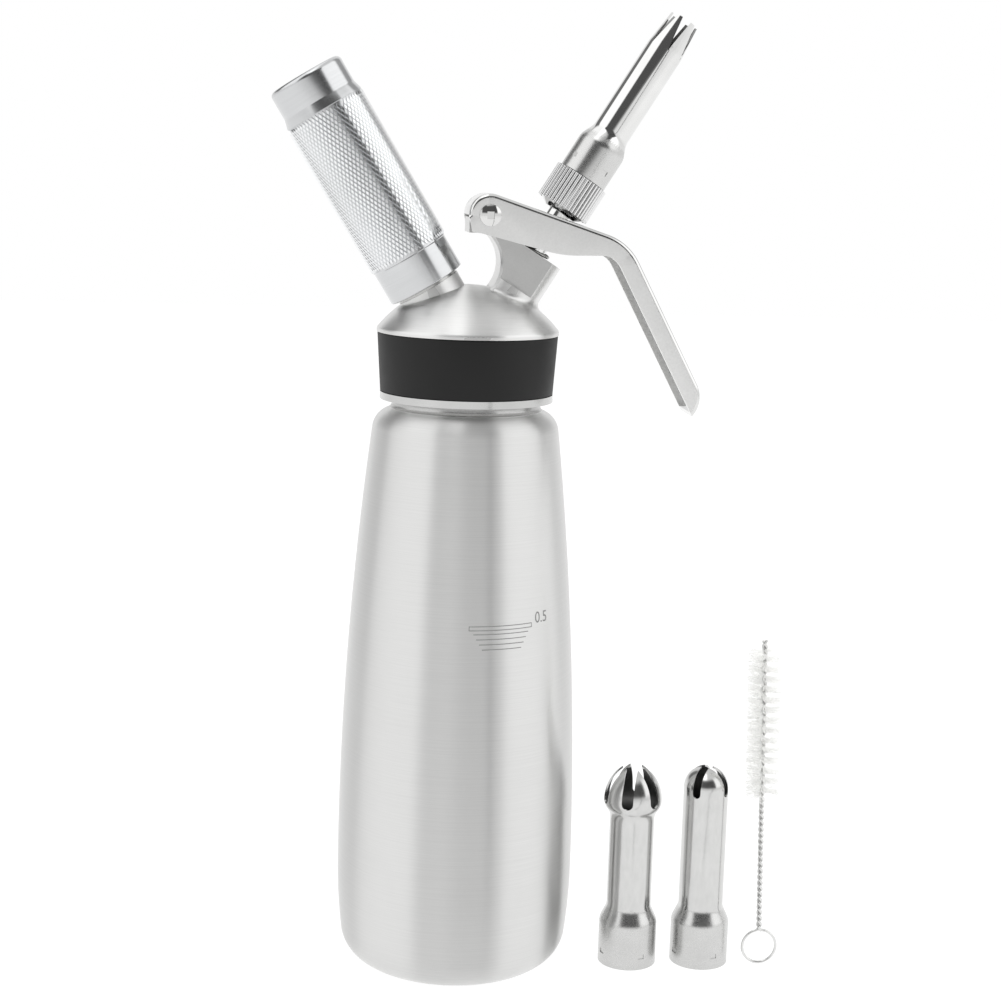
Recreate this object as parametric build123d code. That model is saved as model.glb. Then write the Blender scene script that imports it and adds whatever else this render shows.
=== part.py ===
from build123d import *
import os
from math import acos, atan2, cos, degrees, radians, sin, sqrt, tan

# Whipped cream dispenser, half litre. Millimetres, +Z up, origin in the middle of the bottle's foot.
# +X points from the bottle's axis towards the lever and the tip; the head is symmetric about Y = 0.

overrun = 1.0              # how far a cut runs past the face that it opens

# ---- bottle ----
bottle_max_r = 38.95
widest_z = 33.0
base_corner_r = 10.8
lower_arc_r = 200.0        # draws the side in from the widest place down to the base corner
side_arc_r = 1180.0        # and up to the shoulder
shoulder_z = 184.4         # top of the shoulder
shoulder_arc_r = 7.1
neck_r = 23.8              # crest of the neck thread
neck_fillet_r = 2.5
neck_length = 19.9
bottle_wall = 1.0
foot_dish = 1.6            # rise of the hollow under the base
foot_dish_r = 24.5
mouth_rim_w = 2.2
mouth_rim_h = 4.0

# ---- head ----
gasket_h = 2.4
gasket_inner_r = 21.4
thread_clearance = 0.15    # radial gap in every screw thread
thread_lead_in = 0.8       # bevel at the start of an outer thread
skirt_depth = 19.3         # from the gasket seat down to the skirt's lower edge
skirt_flange_h = 2.3
skirt_flange_r = 27.8
band_seat_r = 26.4
band_h = 19.0
band_bottom_r = 27.7
band_top_r = 28.9
band_edge_r = 0.5
dome_rim_r = 29.1
dome_arc_r = 37.0
dome_rise = 17.4           # apex above the gasket seat
dome_wall = 4.6
dome_edge_fillet = 1.6
boss_foot_fillet = 2.4
cavity_r = 19.8

# ---- inlet and outlet axes ----
axis_drop = 5.0            # the two axes cross this far below the gasket seat
axis_tilt = 31.7           # degrees from upright, one to each side
# Places along both axes are distances from that crossing point.

# ---- outlet boss and its lever bracket ----
outlet_boss_r = 10.0
outlet_boss_top = 38.7
boss_root = 16.5           # both bosses start inside the dome's wall
boss_round_to = 26.0       # above this the outlet boss is cut flat on both sides
valve_seat_at = 20.0
seat_face_r = 8.6
chamber_r = 5.0
bush_seat_at = 24.5
bush_r = 5.7
bush_h = 7.0
bracket_w = 16.0
bracket_end_r = 4.9
bracket_inset = 1.0        # bracket's front edge inside the boss's side
bracket_arc_r = 12.4
bracket_arc_x = -3.3
bracket_arc_z = 29.5       # above the crossing point
heel_x = -1.1
heel_bottom_z = 38.9       # above the crossing point
heel_gap = 0.8             # slit between the bracket's heel and the lever's curled end
bracket_bevel = 0.8        # along both edges of the throat

# ---- lever ----
pivot_across = 18.9        # pivot to outlet axis
pivot_along = 40.6
lever_sheet = 1.5
lever_side_gap = 0.3       # bracket to each cheek
lever_end_r = 6.7
lever_top_slope = 17.9     # degrees below level
lever_top_length = 44.4    # pivot to the corner of top and handle, along the top
lever_bend_r = 18.0
handle_slope = 61.9        # degrees below level
handle_length = 50.8       # from that corner to where the end curves in
handle_end_r = 9.0
handle_depth = 6.0
cheek_depth = 11.0
cheek_lobe_at = 25.6       # lowest place of the cheeks, along the top from the pivot
cheek_lobe_r = 38.0
cheek_inner_r = 7.0
cheek_heel_x = 5.7         # cheek corner behind the pivot
cheek_heel_z = 5.3         # and below it
cheek_heel_r = 0.8
cheek_toe_x = 2.6
cheek_toe_drop = 0.4       # below the heel
cheek_toe_r = 1.5
cheek_end_at = 1.7         # down the handle, where the cheeks' lower edge meets it
lever_edge_r = 1.4         # outside of the bends between its top and its cheeks
slot_w = 8.2
slot_pivot_side = 6.8
slot_handle_side = 4.4
pin_r = 2.0
pin_clearance = 0.05
pin_head_r = 3.4
pin_head_h = 1.3
pin_head_rim_h = 0.4
pin_recess = 2.3
pin_recess_depth = 0.7

# ---- outlet valve ----
stem_r = 3.5
stem_bore_r = 1.8
stem_bottom = 14.2
stem_top = 61.0
stem_clearance = 0.05
port_r = 1.1
port_at = 22.4
port_pairs = 2
collar_r = 5.5
collar_h = 2.6
collar_gap = 0.3           # collar to the underside of the lever
valve_head_r = 6.6
valve_head_h = 2.4
valve_head_bevel = 0.8
valve_seal_r = 6.3
valve_seal_h = 1.8
stem_ring_section = 1.8
spring_wire = 1.0
spring_mean_r = 4.7
spring_turns = 5.5

# ---- tip adapter ----
adapter_r = 9.0
adapter_bottom = 53.6
adapter_cone_h = 1.9
adapter_cone_r = 5.2
adapter_top = 66.7
adapter_bore_r = 2.6
adapter_thread_r = 6.2
adapter_thread_h = 7.4
adapter_seal_h = 1.0
tip_seal_section = 0.9
tip_seal_gap = 0.1         # ring to the thread it slips over

# ---- tips ----
tip_wall = 0.6
shoulder_round = 5.0       # sweep of a tip's shoulder, at both ends
tip_start_gap = 0.2
tip_base_r = 7.95
tip_base_h = 11.4
tip_shoulder_h = 4.5
tip_body_r = 6.0
tip_body_h = 31.1
tip_crown_h = 11.1
tip_crown_r = 4.8
tip_slot_pairs = 3         # each cut goes right across
tip_slot_w = 3.1
tip_slot_depth = 11.6
insert_h = 7.0
insert_lip = 1.0
stake_count = 4            # dents that lock the insert in the tip
stake_w = 2.3
stake_h = 1.5
stake_depth = 0.3
stake_at = 4.4             # above the tip's lower edge
star_stake_turn = 32.6     # degrees
spare_stake_turn = 19.0

spare_base_r = 9.6
spare_base_h = 14.6
spare_shoulder_h = 4.6
spare_body_r = 7.4
tulip_bud_r = 9.6
tulip_widest_z = 56.1
tulip_swell_r = 4.9        # both arcs of the swell from the body to the bud
tulip_petal_arc_r = 13.5   # draws the petals in above the widest place
tulip_slot_pairs = 3       # each cut goes right across
tulip_slot_turn = 8.4      # degrees
tulip_slot_w = 3.8
tulip_slot_bottom_z = 55.2
straight_round_z = 60.2    # where the straight tip's round end starts
straight_slot_pairs = 2
straight_slot_turn = 52.6  # degrees
straight_slot_w = 2.7
straight_slot_bottom_z = 58.2
tulip_stand_off = 19.1     # bottle's side to the middle of the tulip tip
tulip_y = -10.3
straight_stand_off = 24.4  # middle of one spare tip to the next
straight_y = -10.8

# ---- cleaning brush ----
brush_stand_off = 19.7
brush_y = -15.8
brush_ring_r = 5.7
brush_wire_r = 0.45
brush_stem_r = 1.0
brush_height = 111.6
brush_lean = 1.9           # degrees, top towards the bottle
brush_stem_bottom = 12.2
tuft_r = 6.2
tuft_core_r = 1.5          # roots of the bristles, round the twisted wire
tuft_h = 1.3
tuft_count = 15
tuft_low_z = 60.4
tuft_high_z = 108.7

# ---- charger inlet and charger holder ----
inlet_boss_r = 10.5
inlet_boss_top = 24.9
insert_thread_r = 10.2
insert_top = 36.4
insert_shank_r = 6.5
insert_bottom = 17.0
charger_seat_at = 29.6
charger_pocket_r = 4.9
pin_shank_r = 1.5
pin_bore_r = 0.6
pin_tip_at = 32.6
pin_bottom_at = 12.6
pin_end_wall = 2.0
pin_flange_r = 4.2
pin_flange_h = 1.2
inlet_seal_h = 1.6
inlet_seal_gap = 0.1
valve_sleeve_r = 2.7
valve_sleeve_h = 4.0
charger_r = 9.05
charger_length = 65.5
charger_neck_r = 4.4
charger_neck_h = 8.0
charger_wall = 1.6
charger_hole_r = 1.9
charger_side_gap = 0.45
charger_end_gap = 0.4
holder_gap = 1.0           # holder's mouth above the inlet boss
holder_collar_r = 12.7
holder_collar_h = 10.9
holder_knurl_r = 13.3
holder_knurl_h = 51.8
holder_chamfer_h = 3.1
holder_cap_r = 12.4
holder_cap_edge_r = 1.7
holder_end_wall = 5.4
holder_thread_h = 12.5

# ---- places worked out from the sizes above ----
mouth_z = shoulder_z + neck_length
seat_z = mouth_z + gasket_h
skirt_z = seat_z - skirt_depth
band_z = skirt_z + skirt_flange_h
rim_z = band_z + band_h
apex_z = seat_z + dome_rise
cross_z = seat_z - axis_drop
tilt_sin = sin(radians(axis_tilt))
tilt_cos = cos(radians(axis_tilt))
outlet = Plane(origin=(0, 0, cross_z), x_dir=(tilt_cos, 0, -tilt_sin), z_dir=(tilt_sin, 0, tilt_cos)).location
inlet = Plane(origin=(0, 0, cross_z), x_dir=(tilt_cos, 0, tilt_sin), z_dir=(-tilt_sin, 0, tilt_cos)).location
pivot_x = pivot_along * tilt_sin - pivot_across * tilt_cos
pivot_z = cross_z + pivot_along * tilt_cos + pivot_across * tilt_sin
cheek_in_y = bracket_w / 2 + lever_side_gap
cheek_out_y = cheek_in_y + lever_sheet
insert_bore_r = adapter_thread_r + thread_clearance
tip_start = adapter_top + tip_start_gap
holder_mouth = inlet_boss_top + holder_gap


def turned(*corners):
    """A solid of revolution about Z from (radius, height) corners."""
    outline = Polyline(*[(r, 0, z) for r, z in corners], close=True)
    return revolve(make_face(outline), Axis.Z)


def tube(outer_r, inner_r, low, high):
    """A round tube about Z."""
    return turned((inner_r, low), (outer_r, low), (outer_r, high), (inner_r, high))


def rod(radius, low, high):
    """A round rod about Z."""
    return turned((0, low), (radius, low), (radius, high), (0, high))


def ring(mean_r, section, height):
    """A round-section ring about Z."""
    return Pos(0, 0, height) * Torus(mean_r, section / 2)


def on_circle(centre, radius, angle):
    """A point of the XZ plane at an angle round a centre, in degrees up from +X."""
    return (centre[0] + radius * cos(radians(angle)), 0, centre[1] + radius * sin(radians(angle)))


def arc(centre, radius, start, end):
    """An arc of the XZ plane between two angles round a centre."""
    return ThreePointArc(
        on_circle(centre, radius, start),
        on_circle(centre, radius, (start + end) / 2),
        on_circle(centre, radius, end),
    )


# ================= bottle =================

def bottle_form(inset, top):
    """The bottle as a full body, every face moved in by inset, cut level at top."""
    side_centre = (bottle_max_r - side_arc_r, widest_z)
    shoulder_rise = shoulder_z - shoulder_arc_r - widest_z
    shoulder_reach = sqrt((side_arc_r - shoulder_arc_r) ** 2 - shoulder_rise ** 2)
    shoulder_centre = (side_centre[0] + shoulder_reach, shoulder_z - shoulder_arc_r)
    lean = degrees(atan2(shoulder_rise, shoulder_reach))
    lower_centre = (bottle_max_r - lower_arc_r, widest_z)
    corner_drop = widest_z - base_corner_r
    corner_reach = sqrt((lower_arc_r - base_corner_r) ** 2 - corner_drop ** 2)
    corner_centre = (lower_centre[0] + corner_reach, base_corner_r)
    tuck = degrees(atan2(corner_drop, corner_reach))
    neck_reach = neck_r + neck_fillet_r - shoulder_centre[0]
    neck_rise = sqrt((shoulder_arc_r + neck_fillet_r) ** 2 - neck_reach ** 2)
    turn = degrees(atan2(neck_rise, neck_reach))
    fillet_centre = (neck_r + neck_fillet_r, shoulder_centre[1] + neck_rise)
    dish_arc_r = (foot_dish_r ** 2 + foot_dish ** 2) / (2 * foot_dish)
    dish_edge = degrees(acos(foot_dish_r / dish_arc_r))
    dish = arc((0, foot_dish - dish_arc_r + inset), dish_arc_r, 90, dish_edge)
    corner = arc(corner_centre, base_corner_r - inset, -90, -tuck)
    lower_side = arc(lower_centre, lower_arc_r - inset, -tuck, 0)
    side = arc(side_centre, side_arc_r - inset, 0, lean)
    shoulder = arc(shoulder_centre, shoulder_arc_r - inset, lean, turn)
    neck = arc(fillet_centre, neck_fillet_r + inset, turn + 180, 180)
    outline = [
        dish,
        Line(dish @ 1, corner @ 0),
        corner,
        lower_side,
        side,
        shoulder,
        neck,
        Line(neck @ 1, (neck_r - inset, 0, top)),
        Line((neck_r - inset, 0, top), (0, 0, top)),
        Line((0, 0, top), dish @ 0),
    ]
    return revolve(make_face(outline), Axis.Z)


def bottle():
    """Deep drawn steel bottle with a thickened mouth rim."""
    rim = tube(neck_r - bottle_wall / 2, neck_r - mouth_rim_w, mouth_z - mouth_rim_h, mouth_z)
    return bottle_form(0, mouth_z) - bottle_form(bottle_wall, mouth_z + overrun) + rim


def head_gasket():
    """Flat rubber ring between the bottle's mouth and the head."""
    return tube(neck_r, gasket_inner_r, mouth_z, seat_z)


# ================= head =================

def dome():
    """The head's turned outside: skirt, seat of the grip band, rim and dome."""
    dome_centre = (0, apex_z - dome_arc_r)
    rim_angle = degrees(atan2(sqrt(dome_arc_r ** 2 - dome_rim_r ** 2), dome_rim_r))
    crown = arc(dome_centre, dome_arc_r, rim_angle, 90)
    skirt = Polyline(
        (0, 0, skirt_z),
        (skirt_flange_r, 0, skirt_z),
        (skirt_flange_r, 0, band_z),
        (band_seat_r, 0, band_z),
        (band_seat_r, 0, rim_z),
        (dome_rim_r, 0, rim_z),
        crown @ 0,
    )
    body = revolve(make_face([skirt, crown, Line(crown @ 1, (0, 0, skirt_z))]), Axis.Z)
    rim_edges = body.edges().filter_by(GeomType.CIRCLE).group_by(Axis.Z)
    outer = [e for group in rim_edges for e in group if abs(e.radius - dome_rim_r) < 0.01]
    return fillet(outer[-1:], dome_edge_fillet)


def cavity():
    """The hollow inside the head, above the gasket seat."""
    centre = (0, apex_z - dome_arc_r)
    inner_r = dome_arc_r - dome_wall
    wall_angle = degrees(atan2(sqrt(inner_r ** 2 - cavity_r ** 2), cavity_r))
    roof = arc(centre, inner_r, wall_angle, 90)
    sides = Polyline((0, 0, skirt_z - overrun), (cavity_r, 0, skirt_z - overrun), roof @ 0)
    return revolve(make_face([sides, roof, Line(roof @ 1, sides @ 0)]), Axis.Z)


def bracket():
    """Flat-sided bracket from the outlet boss up to the lever's pin, with a heel behind the pin."""
    heel_z = cross_z + heel_bottom_z
    heel_top = pivot_z - heel_gap
    throat_x = bracket_arc_x + sqrt(bracket_arc_r ** 2 - (heel_bottom_z - bracket_arc_z) ** 2)
    boss_foot = (outlet * Pos(0, 0, boss_root)).position
    boss_middle = (outlet * Pos(0, 0, outlet_boss_top)).position
    boss_lip = (outlet * Pos(bracket_inset - outlet_boss_r, 0, outlet_boss_top)).position
    end_top = on_circle((pivot_x, pivot_z), bracket_end_r, 90 - axis_tilt)
    end_back = on_circle((pivot_x, pivot_z), bracket_end_r, 180)
    outline = Polyline(
        end_back,
        (end_back[0], 0, heel_top),
        (heel_x, 0, heel_top),
        (heel_x, 0, heel_z),
        (throat_x, 0, heel_z),
        boss_foot,
        boss_middle,
        boss_lip,
        end_top,
    )
    end = arc((pivot_x, pivot_z), bracket_end_r, 90 - axis_tilt, 180)
    return extrude(make_face([outline, end]), bracket_w / 2, both=True)


def throat():
    """Round cut between the heel and the dome, with room for a fingertip; its edges are bevelled."""
    half = bracket_w / 2
    bevel_r = bracket_arc_r + bracket_bevel
    waist = turned(
        (0, -2 * half), (bevel_r, -2 * half), (bevel_r, -half), (bracket_arc_r, bracket_bevel - half),
        (bracket_arc_r, half - bracket_bevel), (bevel_r, half), (bevel_r, 2 * half), (0, 2 * half),
    )
    under_heel = Pos(0, 0, heel_bottom_z - bevel_r * 2) * Box(4 * bevel_r, 4 * half, 4 * bevel_r)
    return Pos(0, 0, cross_z) * (Pos(bracket_arc_x, 0, bracket_arc_z) * Rot(90, 0, 0) * waist & under_heel)


def outlet_arm():
    """Outlet boss, flattened where the lever's cheeks pass, and its bracket."""
    between_cheeks = Pos(0, 0, cross_z) * Box(4 * dome_rim_r, bracket_w, 4 * dome_rim_r)
    boss = outlet * rod(outlet_boss_r, boss_root, outlet_boss_top)
    foot = outlet * rod(outlet_boss_r, boss_root, boss_round_to)
    return (boss & between_cheeks) + bracket() + foot - throat()


def with_foot_fillet(body):
    """The same body with the outer foot of the outlet boss blended into the dome."""
    dome_centre = Vector(0, 0, apex_z - dome_arc_r)
    foot = [
        e for e in body.edges()
        if all(abs((e @ t - dome_centre).length - dome_arc_r) < 0.02 for t in (0.1, 0.5, 0.9))
        and (e @ 0.5).X > outlet_boss_r and not e.geom_type == GeomType.CIRCLE
    ]
    return fillet(foot, boss_foot_fillet)


def head_body():
    """Cast and turned steel head: dome, outlet boss with its bracket, and inlet boss."""
    body = with_foot_fillet(dome() + outlet_arm()) + inlet * rod(inlet_boss_r, boss_root, inlet_boss_top)
    neck_bore = rod(neck_r + thread_clearance, skirt_z - overrun, seat_z)
    outlet_bore = outlet * (
        rod(seat_face_r, valve_seat_at - 2 * dome_wall, valve_seat_at)
        + rod(chamber_r, valve_seat_at - overrun, bush_seat_at + overrun)
        + rod(bush_r, bush_seat_at, outlet_boss_top + overrun)
    )
    inlet_bore = inlet * rod(insert_shank_r, insert_bottom - dome_wall, inlet_boss_top + overrun)
    pin_bore = (
        Pos(pivot_x, 0, pivot_z) * Rot(90, 0, 0) * Cylinder(pin_r + pin_clearance, bracket_w + 2 * overrun)
    )
    return body - cavity() - neck_bore - outlet_bore - inlet_bore - pin_bore


def grip_band():
    """Silicone sleeve round the head, wider at its top."""
    band = turned((band_seat_r, band_z), (band_bottom_r, band_z), (band_top_r, rim_z), (band_seat_r, rim_z))
    outer = band.edges().filter_by(GeomType.CIRCLE).sort_by(lambda e: e.radius)[-2:]
    return fillet(outer, band_edge_r)


# ================= charger inlet =================

def inlet_insert():
    """Threaded nipple for the charger holder, with a pocket for the charger's neck."""
    outside = turned(
        (0, insert_bottom),
        (insert_shank_r, insert_bottom),
        (insert_shank_r, inlet_boss_top),
        (insert_thread_r, inlet_boss_top),
        (insert_thread_r, insert_top - thread_lead_in),
        (insert_thread_r - thread_lead_in, insert_top),
        (0, insert_top),
    )
    pocket = rod(charger_pocket_r, charger_seat_at - inlet_seal_h - pin_flange_h, insert_top + overrun)
    bore = rod(pin_shank_r, insert_bottom - overrun, insert_top)
    return inlet * (outside - pocket - bore)


def piercing_pin():
    """Hollow needle that opens the charger, with a flange and a slanted point."""
    flange_at = charger_seat_at - inlet_seal_h - pin_flange_h
    body = turned(
        (0, pin_bottom_at),
        (pin_shank_r, pin_bottom_at),
        (pin_shank_r, flange_at),
        (pin_flange_r, flange_at),
        (pin_flange_r, flange_at + pin_flange_h),
        (pin_shank_r, flange_at + pin_flange_h),
        (pin_shank_r, pin_tip_at - 2 * pin_shank_r),
        (pin_bore_r, pin_tip_at),
        (0, pin_tip_at),
    )
    return inlet * (body - rod(pin_bore_r, pin_bottom_at + pin_end_wall, pin_tip_at + overrun))


def inlet_seal():
    """Rubber washer on the needle, under the charger's neck."""
    outer_r = charger_pocket_r - inlet_seal_gap
    return inlet * tube(outer_r, pin_shank_r, charger_seat_at - inlet_seal_h, charger_seat_at)


def inlet_check_valve():
    """Rubber sleeve over the needle's lower end; gas lifts it, cream can't pass back."""
    return inlet * tube(valve_sleeve_r, pin_shank_r, insert_bottom - valve_sleeve_h, insert_bottom)


def charger():
    """Steel gas bulb with a drawn-in neck, shown opened by the needle."""
    inner_r = charger_r - charger_wall
    neck_inner_r = charger_neck_r - charger_wall
    shoulder_at = charger_seat_at + charger_neck_h
    end_at = charger_seat_at + charger_length

    def form(body_r, nose_r, low, shoulder, high):
        """Bulb with a round end; the shoulder is a quarter arc between neck and body."""
        end = arc((0, high - body_r), body_r, 0, 90)
        meet = degrees(atan2(sqrt(body_r ** 2 - nose_r ** 2), nose_r))
        blend = arc((0, shoulder + body_r), body_r, -meet, 0)
        sides = Polyline((0, 0, low), (nose_r, 0, low), blend @ 0)
        outline = [sides, blend, Line(blend @ 1, end @ 0), end, Line(end @ 1, (0, 0, low))]
        return revolve(make_face(outline), Axis.Z)

    outside = form(charger_r, charger_neck_r, charger_seat_at, shoulder_at, end_at)
    inside = form(inner_r, neck_inner_r, charger_seat_at + charger_wall,
                  shoulder_at + charger_wall, end_at - charger_wall)
    hole = rod(charger_hole_r, charger_seat_at - overrun, charger_seat_at + charger_wall + overrun)
    return inlet * (outside - inside - hole)


def charger_holder():
    """Knurled metal sleeve that presses the charger on the needle."""
    knurl_at = holder_mouth + holder_collar_h
    chamfer_at = knurl_at + holder_knurl_h
    inner_end = charger_seat_at + charger_length + charger_end_gap
    outer_end = inner_end + holder_end_wall
    edge = arc((holder_cap_r - holder_cap_edge_r, outer_end - holder_cap_edge_r), holder_cap_edge_r, 0, 90)
    sides = Polyline(
        (0, 0, holder_mouth),
        (holder_collar_r, 0, holder_mouth),
        (holder_collar_r, 0, knurl_at),
        (holder_knurl_r, 0, knurl_at + holder_knurl_r - holder_collar_r),
        (holder_knurl_r, 0, chamfer_at),
        (holder_cap_r, 0, chamfer_at + holder_chamfer_h),
        edge @ 0,
    )
    top = Polyline(edge @ 1, (0, 0, outer_end), (0, 0, holder_mouth))
    outside = revolve(make_face([sides, edge, top]), Axis.Z)
    bulb_r = charger_r + charger_side_gap
    open_at = holder_mouth - overrun
    bore = rod(bulb_r, open_at, inner_end - bulb_r) + Pos(0, 0, inner_end - bulb_r) * Sphere(bulb_r)
    thread = rod(insert_thread_r + thread_clearance, open_at, holder_mouth + holder_thread_h)
    return inlet * (outside - bore - thread)


# ================= lever =================

def along_lever(distance, rise):
    """A point that far from the pivot along the lever's top, and that far square off it."""
    slope = radians(lever_top_slope)
    return (
        pivot_x + distance * cos(slope) + rise * sin(slope),
        0,
        pivot_z - distance * sin(slope) + rise * cos(slope),
    )


def along_handle(distance, rise):
    """A point that far down the handle from its corner with the top, and that far off its back."""
    corner = along_lever(lever_top_length, lever_end_r)
    slope = radians(handle_slope)
    return (
        corner[0] + distance * cos(slope) + rise * sin(slope),
        0,
        corner[2] - distance * sin(slope) + rise * cos(slope),
    )


def lever_back(inset):
    """The lever's outer line from the curl behind the pin to the handle's end, moved in by inset."""
    half_turn = (handle_slope - lever_top_slope) / 2
    run_out = lever_bend_r * tan(radians(half_turn))
    bend = along_lever(lever_top_length - run_out, lever_end_r - lever_bend_r)
    tip = along_handle(handle_length, -handle_end_r)
    tip_turn = degrees(2 * atan2(sqrt(handle_depth / (2 * handle_end_r - handle_depth)), 1))
    curl = arc((pivot_x, pivot_z), lever_end_r - inset, 180, 90 - lever_top_slope)
    knee = arc((bend[0], bend[2]), lever_bend_r - inset, 90 - lever_top_slope, 90 - handle_slope)
    end = arc((tip[0], tip[2]), handle_end_r - inset, 90 - handle_slope, 90 - handle_slope - tip_turn)
    return [curl, Line(curl @ 1, knee @ 0), knee, Line(knee @ 1, end @ 0), end]


def lever():
    """Pressed steel lever: a channel that straddles the bracket and runs down as the handle."""
    back = lever_back(0)
    heel = (pivot_x - cheek_heel_x, 0, pivot_z - cheek_heel_z)
    toe = (pivot_x - cheek_toe_x, 0, pivot_z - cheek_heel_z - cheek_toe_drop)
    lobe = along_lever(cheek_lobe_at, lever_end_r - cheek_depth)
    inner_corner = along_handle(cheek_end_at, -handle_depth)
    lower = FilletPolyline(
        back[0] @ 0, heel, toe, lobe, inner_corner, back[-1] @ 1,
        radius=[cheek_heel_r, cheek_toe_r, cheek_lobe_r, cheek_inner_r],
    )
    channel = extrude(make_face(back + [lower]), cheek_out_y, both=True)
    rounded = [
        e for e in channel.edges()
        if abs(abs(e.center().Y) - cheek_out_y) < 0.01
        and min((e.center() - b.center()).length for b in lever_back_sides(back)) < 0.1
    ]
    channel = fillet(rounded, lever_edge_r)
    inside = lever_back(lever_sheet)
    far_below = -handle_length * 2
    clear = Polyline(
        inside[-1] @ 1,
        along_handle(handle_length * 2, -handle_depth - handle_end_r),
        along_handle(handle_length * 2, far_below),
        (pivot_x - handle_length, 0, pivot_z - handle_length),
        (pivot_x - handle_length, 0, pivot_z),
        inside[0] @ 0,
    )
    hollow = extrude(make_face(inside + [clear]), cheek_in_y, both=True)
    return channel - hollow - stem_slot() - pin_hole()


def lever_back_sides(back):
    """The back line on both outer faces of the lever."""
    return [Pos(0, side * cheek_out_y, 0) * b for b in back for side in (-1, 1)]


def stem_slot():
    """Slot through the lever's top for the valve stem."""
    lean = radians(axis_tilt - lever_top_slope)
    crossing = pivot_across * cos(lean) + (stem_web_at() - pivot_along) * sin(lean)
    low = crossing - slot_pivot_side + slot_w / 2
    high = crossing + slot_handle_side - slot_w / 2
    through = 4 * lever_sheet
    low_end, middle, high_end = [
        Pos(*along_lever(at, lever_end_r)) * Rot(0, lever_top_slope, 0)
        for at in (low, (low + high) / 2, high)
    ]
    round_end = Cylinder(slot_w / 2, through)
    return low_end * round_end + middle * Box(high - low, slot_w, through) + high_end * round_end


def stem_web_at():
    """Where the underside of the lever's top crosses the outlet axis."""
    lean = radians(axis_tilt - lever_top_slope)
    return pivot_along + (lever_end_r - lever_sheet) / cos(lean) + pivot_across * tan(lean)


def pin_hole():
    """Hole through both cheeks for the pin."""
    return Pos(pivot_x, 0, pivot_z) * Rot(90, 0, 0) * Cylinder(pin_r, 2 * (cheek_out_y + overrun))


def domed_head():
    """Domed head that stands on a cheek, about the pin's axis."""
    dome_h = pin_head_h - pin_head_rim_h
    round_r = (pin_head_r ** 2 + dome_h ** 2) / (2 * dome_h)
    top = cheek_out_y + pin_head_h
    cap = arc((0, top - round_r), round_r, degrees(atan2(round_r - dome_h, pin_head_r)), 90)
    side = Polyline((0, 0, cheek_out_y), (pin_head_r, 0, cheek_out_y), cap @ 0)
    return revolve(make_face([side, cap, Line(cap @ 1, (0, 0, cheek_out_y))]), Axis.Z)


def lever_pin():
    """Pivot pin with a domed head on the -Y side that has a small square recess."""
    shank = rod(pin_r, -cheek_out_y, cheek_out_y)
    recess = Pos(0, 0, cheek_out_y + pin_head_h) * Box(pin_recess, pin_recess, 2 * pin_recess_depth)
    return Pos(pivot_x, 0, pivot_z) * Rot(90, 0, 0) * (domed_head() + shank - recess)


def lever_pin_cap():
    """Domed cap riveted on the pin's +Y end."""
    return Pos(pivot_x, 0, pivot_z) * Rot(-90, 0, 0) * domed_head()


# ================= outlet valve =================

def collar_top():
    """Upper face of the stem's collar, just under the edges of the lever's slot."""
    lean = tan(radians(axis_tilt - lever_top_slope))
    touch = sqrt(collar_r ** 2 - (slot_w / 2) ** 2)
    return stem_web_at() - touch * lean - collar_gap


def valve_stem():
    """Hollow steel stem with a collar that the lever presses and inlet ports above the valve."""
    top = collar_top()
    stem = turned(
        (0, stem_bottom), (stem_r, stem_bottom), (stem_r, top - collar_h), (collar_r, top - collar_h),
        (collar_r, top), (stem_r, top), (stem_r, stem_top), (0, stem_top),
    )
    stem -= rod(stem_bore_r, port_at - 2 * port_r, stem_top + overrun)
    port = Rot(0, 90, 0) * Cylinder(port_r, 4 * stem_r)
    for i in range(port_pairs):
        stem -= Pos(0, 0, port_at) * Rot(0, 0, 180 / port_pairs * i) * port
    return outlet * stem


def valve_head():
    """Valve disc screwed on the stem's inner end."""
    low = valve_seat_at - valve_seal_h - valve_head_h
    disc = turned(
        (stem_r, low), (valve_head_r - valve_head_bevel, low), (valve_head_r, low + valve_head_bevel),
        (valve_head_r, low + valve_head_h), (stem_r, low + valve_head_h),
    )
    return outlet * disc


def valve_seal():
    """Rubber washer between the valve disc and its seat in the head."""
    return outlet * tube(valve_seal_r, stem_r, valve_seat_at - valve_seal_h, valve_seat_at)


def stem_bush():
    """Guide bush in the outlet boss, recessed below for the stem's ring."""
    bush = tube(bush_r, stem_r + stem_clearance, bush_seat_at, bush_seat_at + bush_h)
    recess_r = stem_r + stem_clearance + stem_ring_section
    recess = rod(recess_r, bush_seat_at - overrun, bush_seat_at + stem_ring_section)
    return outlet * (bush - recess)


def stem_ring():
    """Rubber ring that seals the stem in its bush."""
    mean_r = stem_r + stem_clearance + stem_ring_section / 2
    return outlet * ring(mean_r, stem_ring_section, bush_seat_at + stem_ring_section / 2)


def valve_spring():
    """Coil spring between the bush and the stem's collar."""
    low = bush_seat_at + bush_h + spring_wire / 2
    high = collar_top() - collar_h - spring_wire / 2
    coil = Helix(pitch=(high - low) / spring_turns, height=high - low, radius=spring_mean_r)
    section = Plane(origin=coil @ 0, z_dir=coil % 0) * Circle(spring_wire / 2)
    return outlet * Pos(0, 0, low) * sweep(section, path=coil, is_frenet=True)


# ================= tip adapter and tips =================

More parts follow.
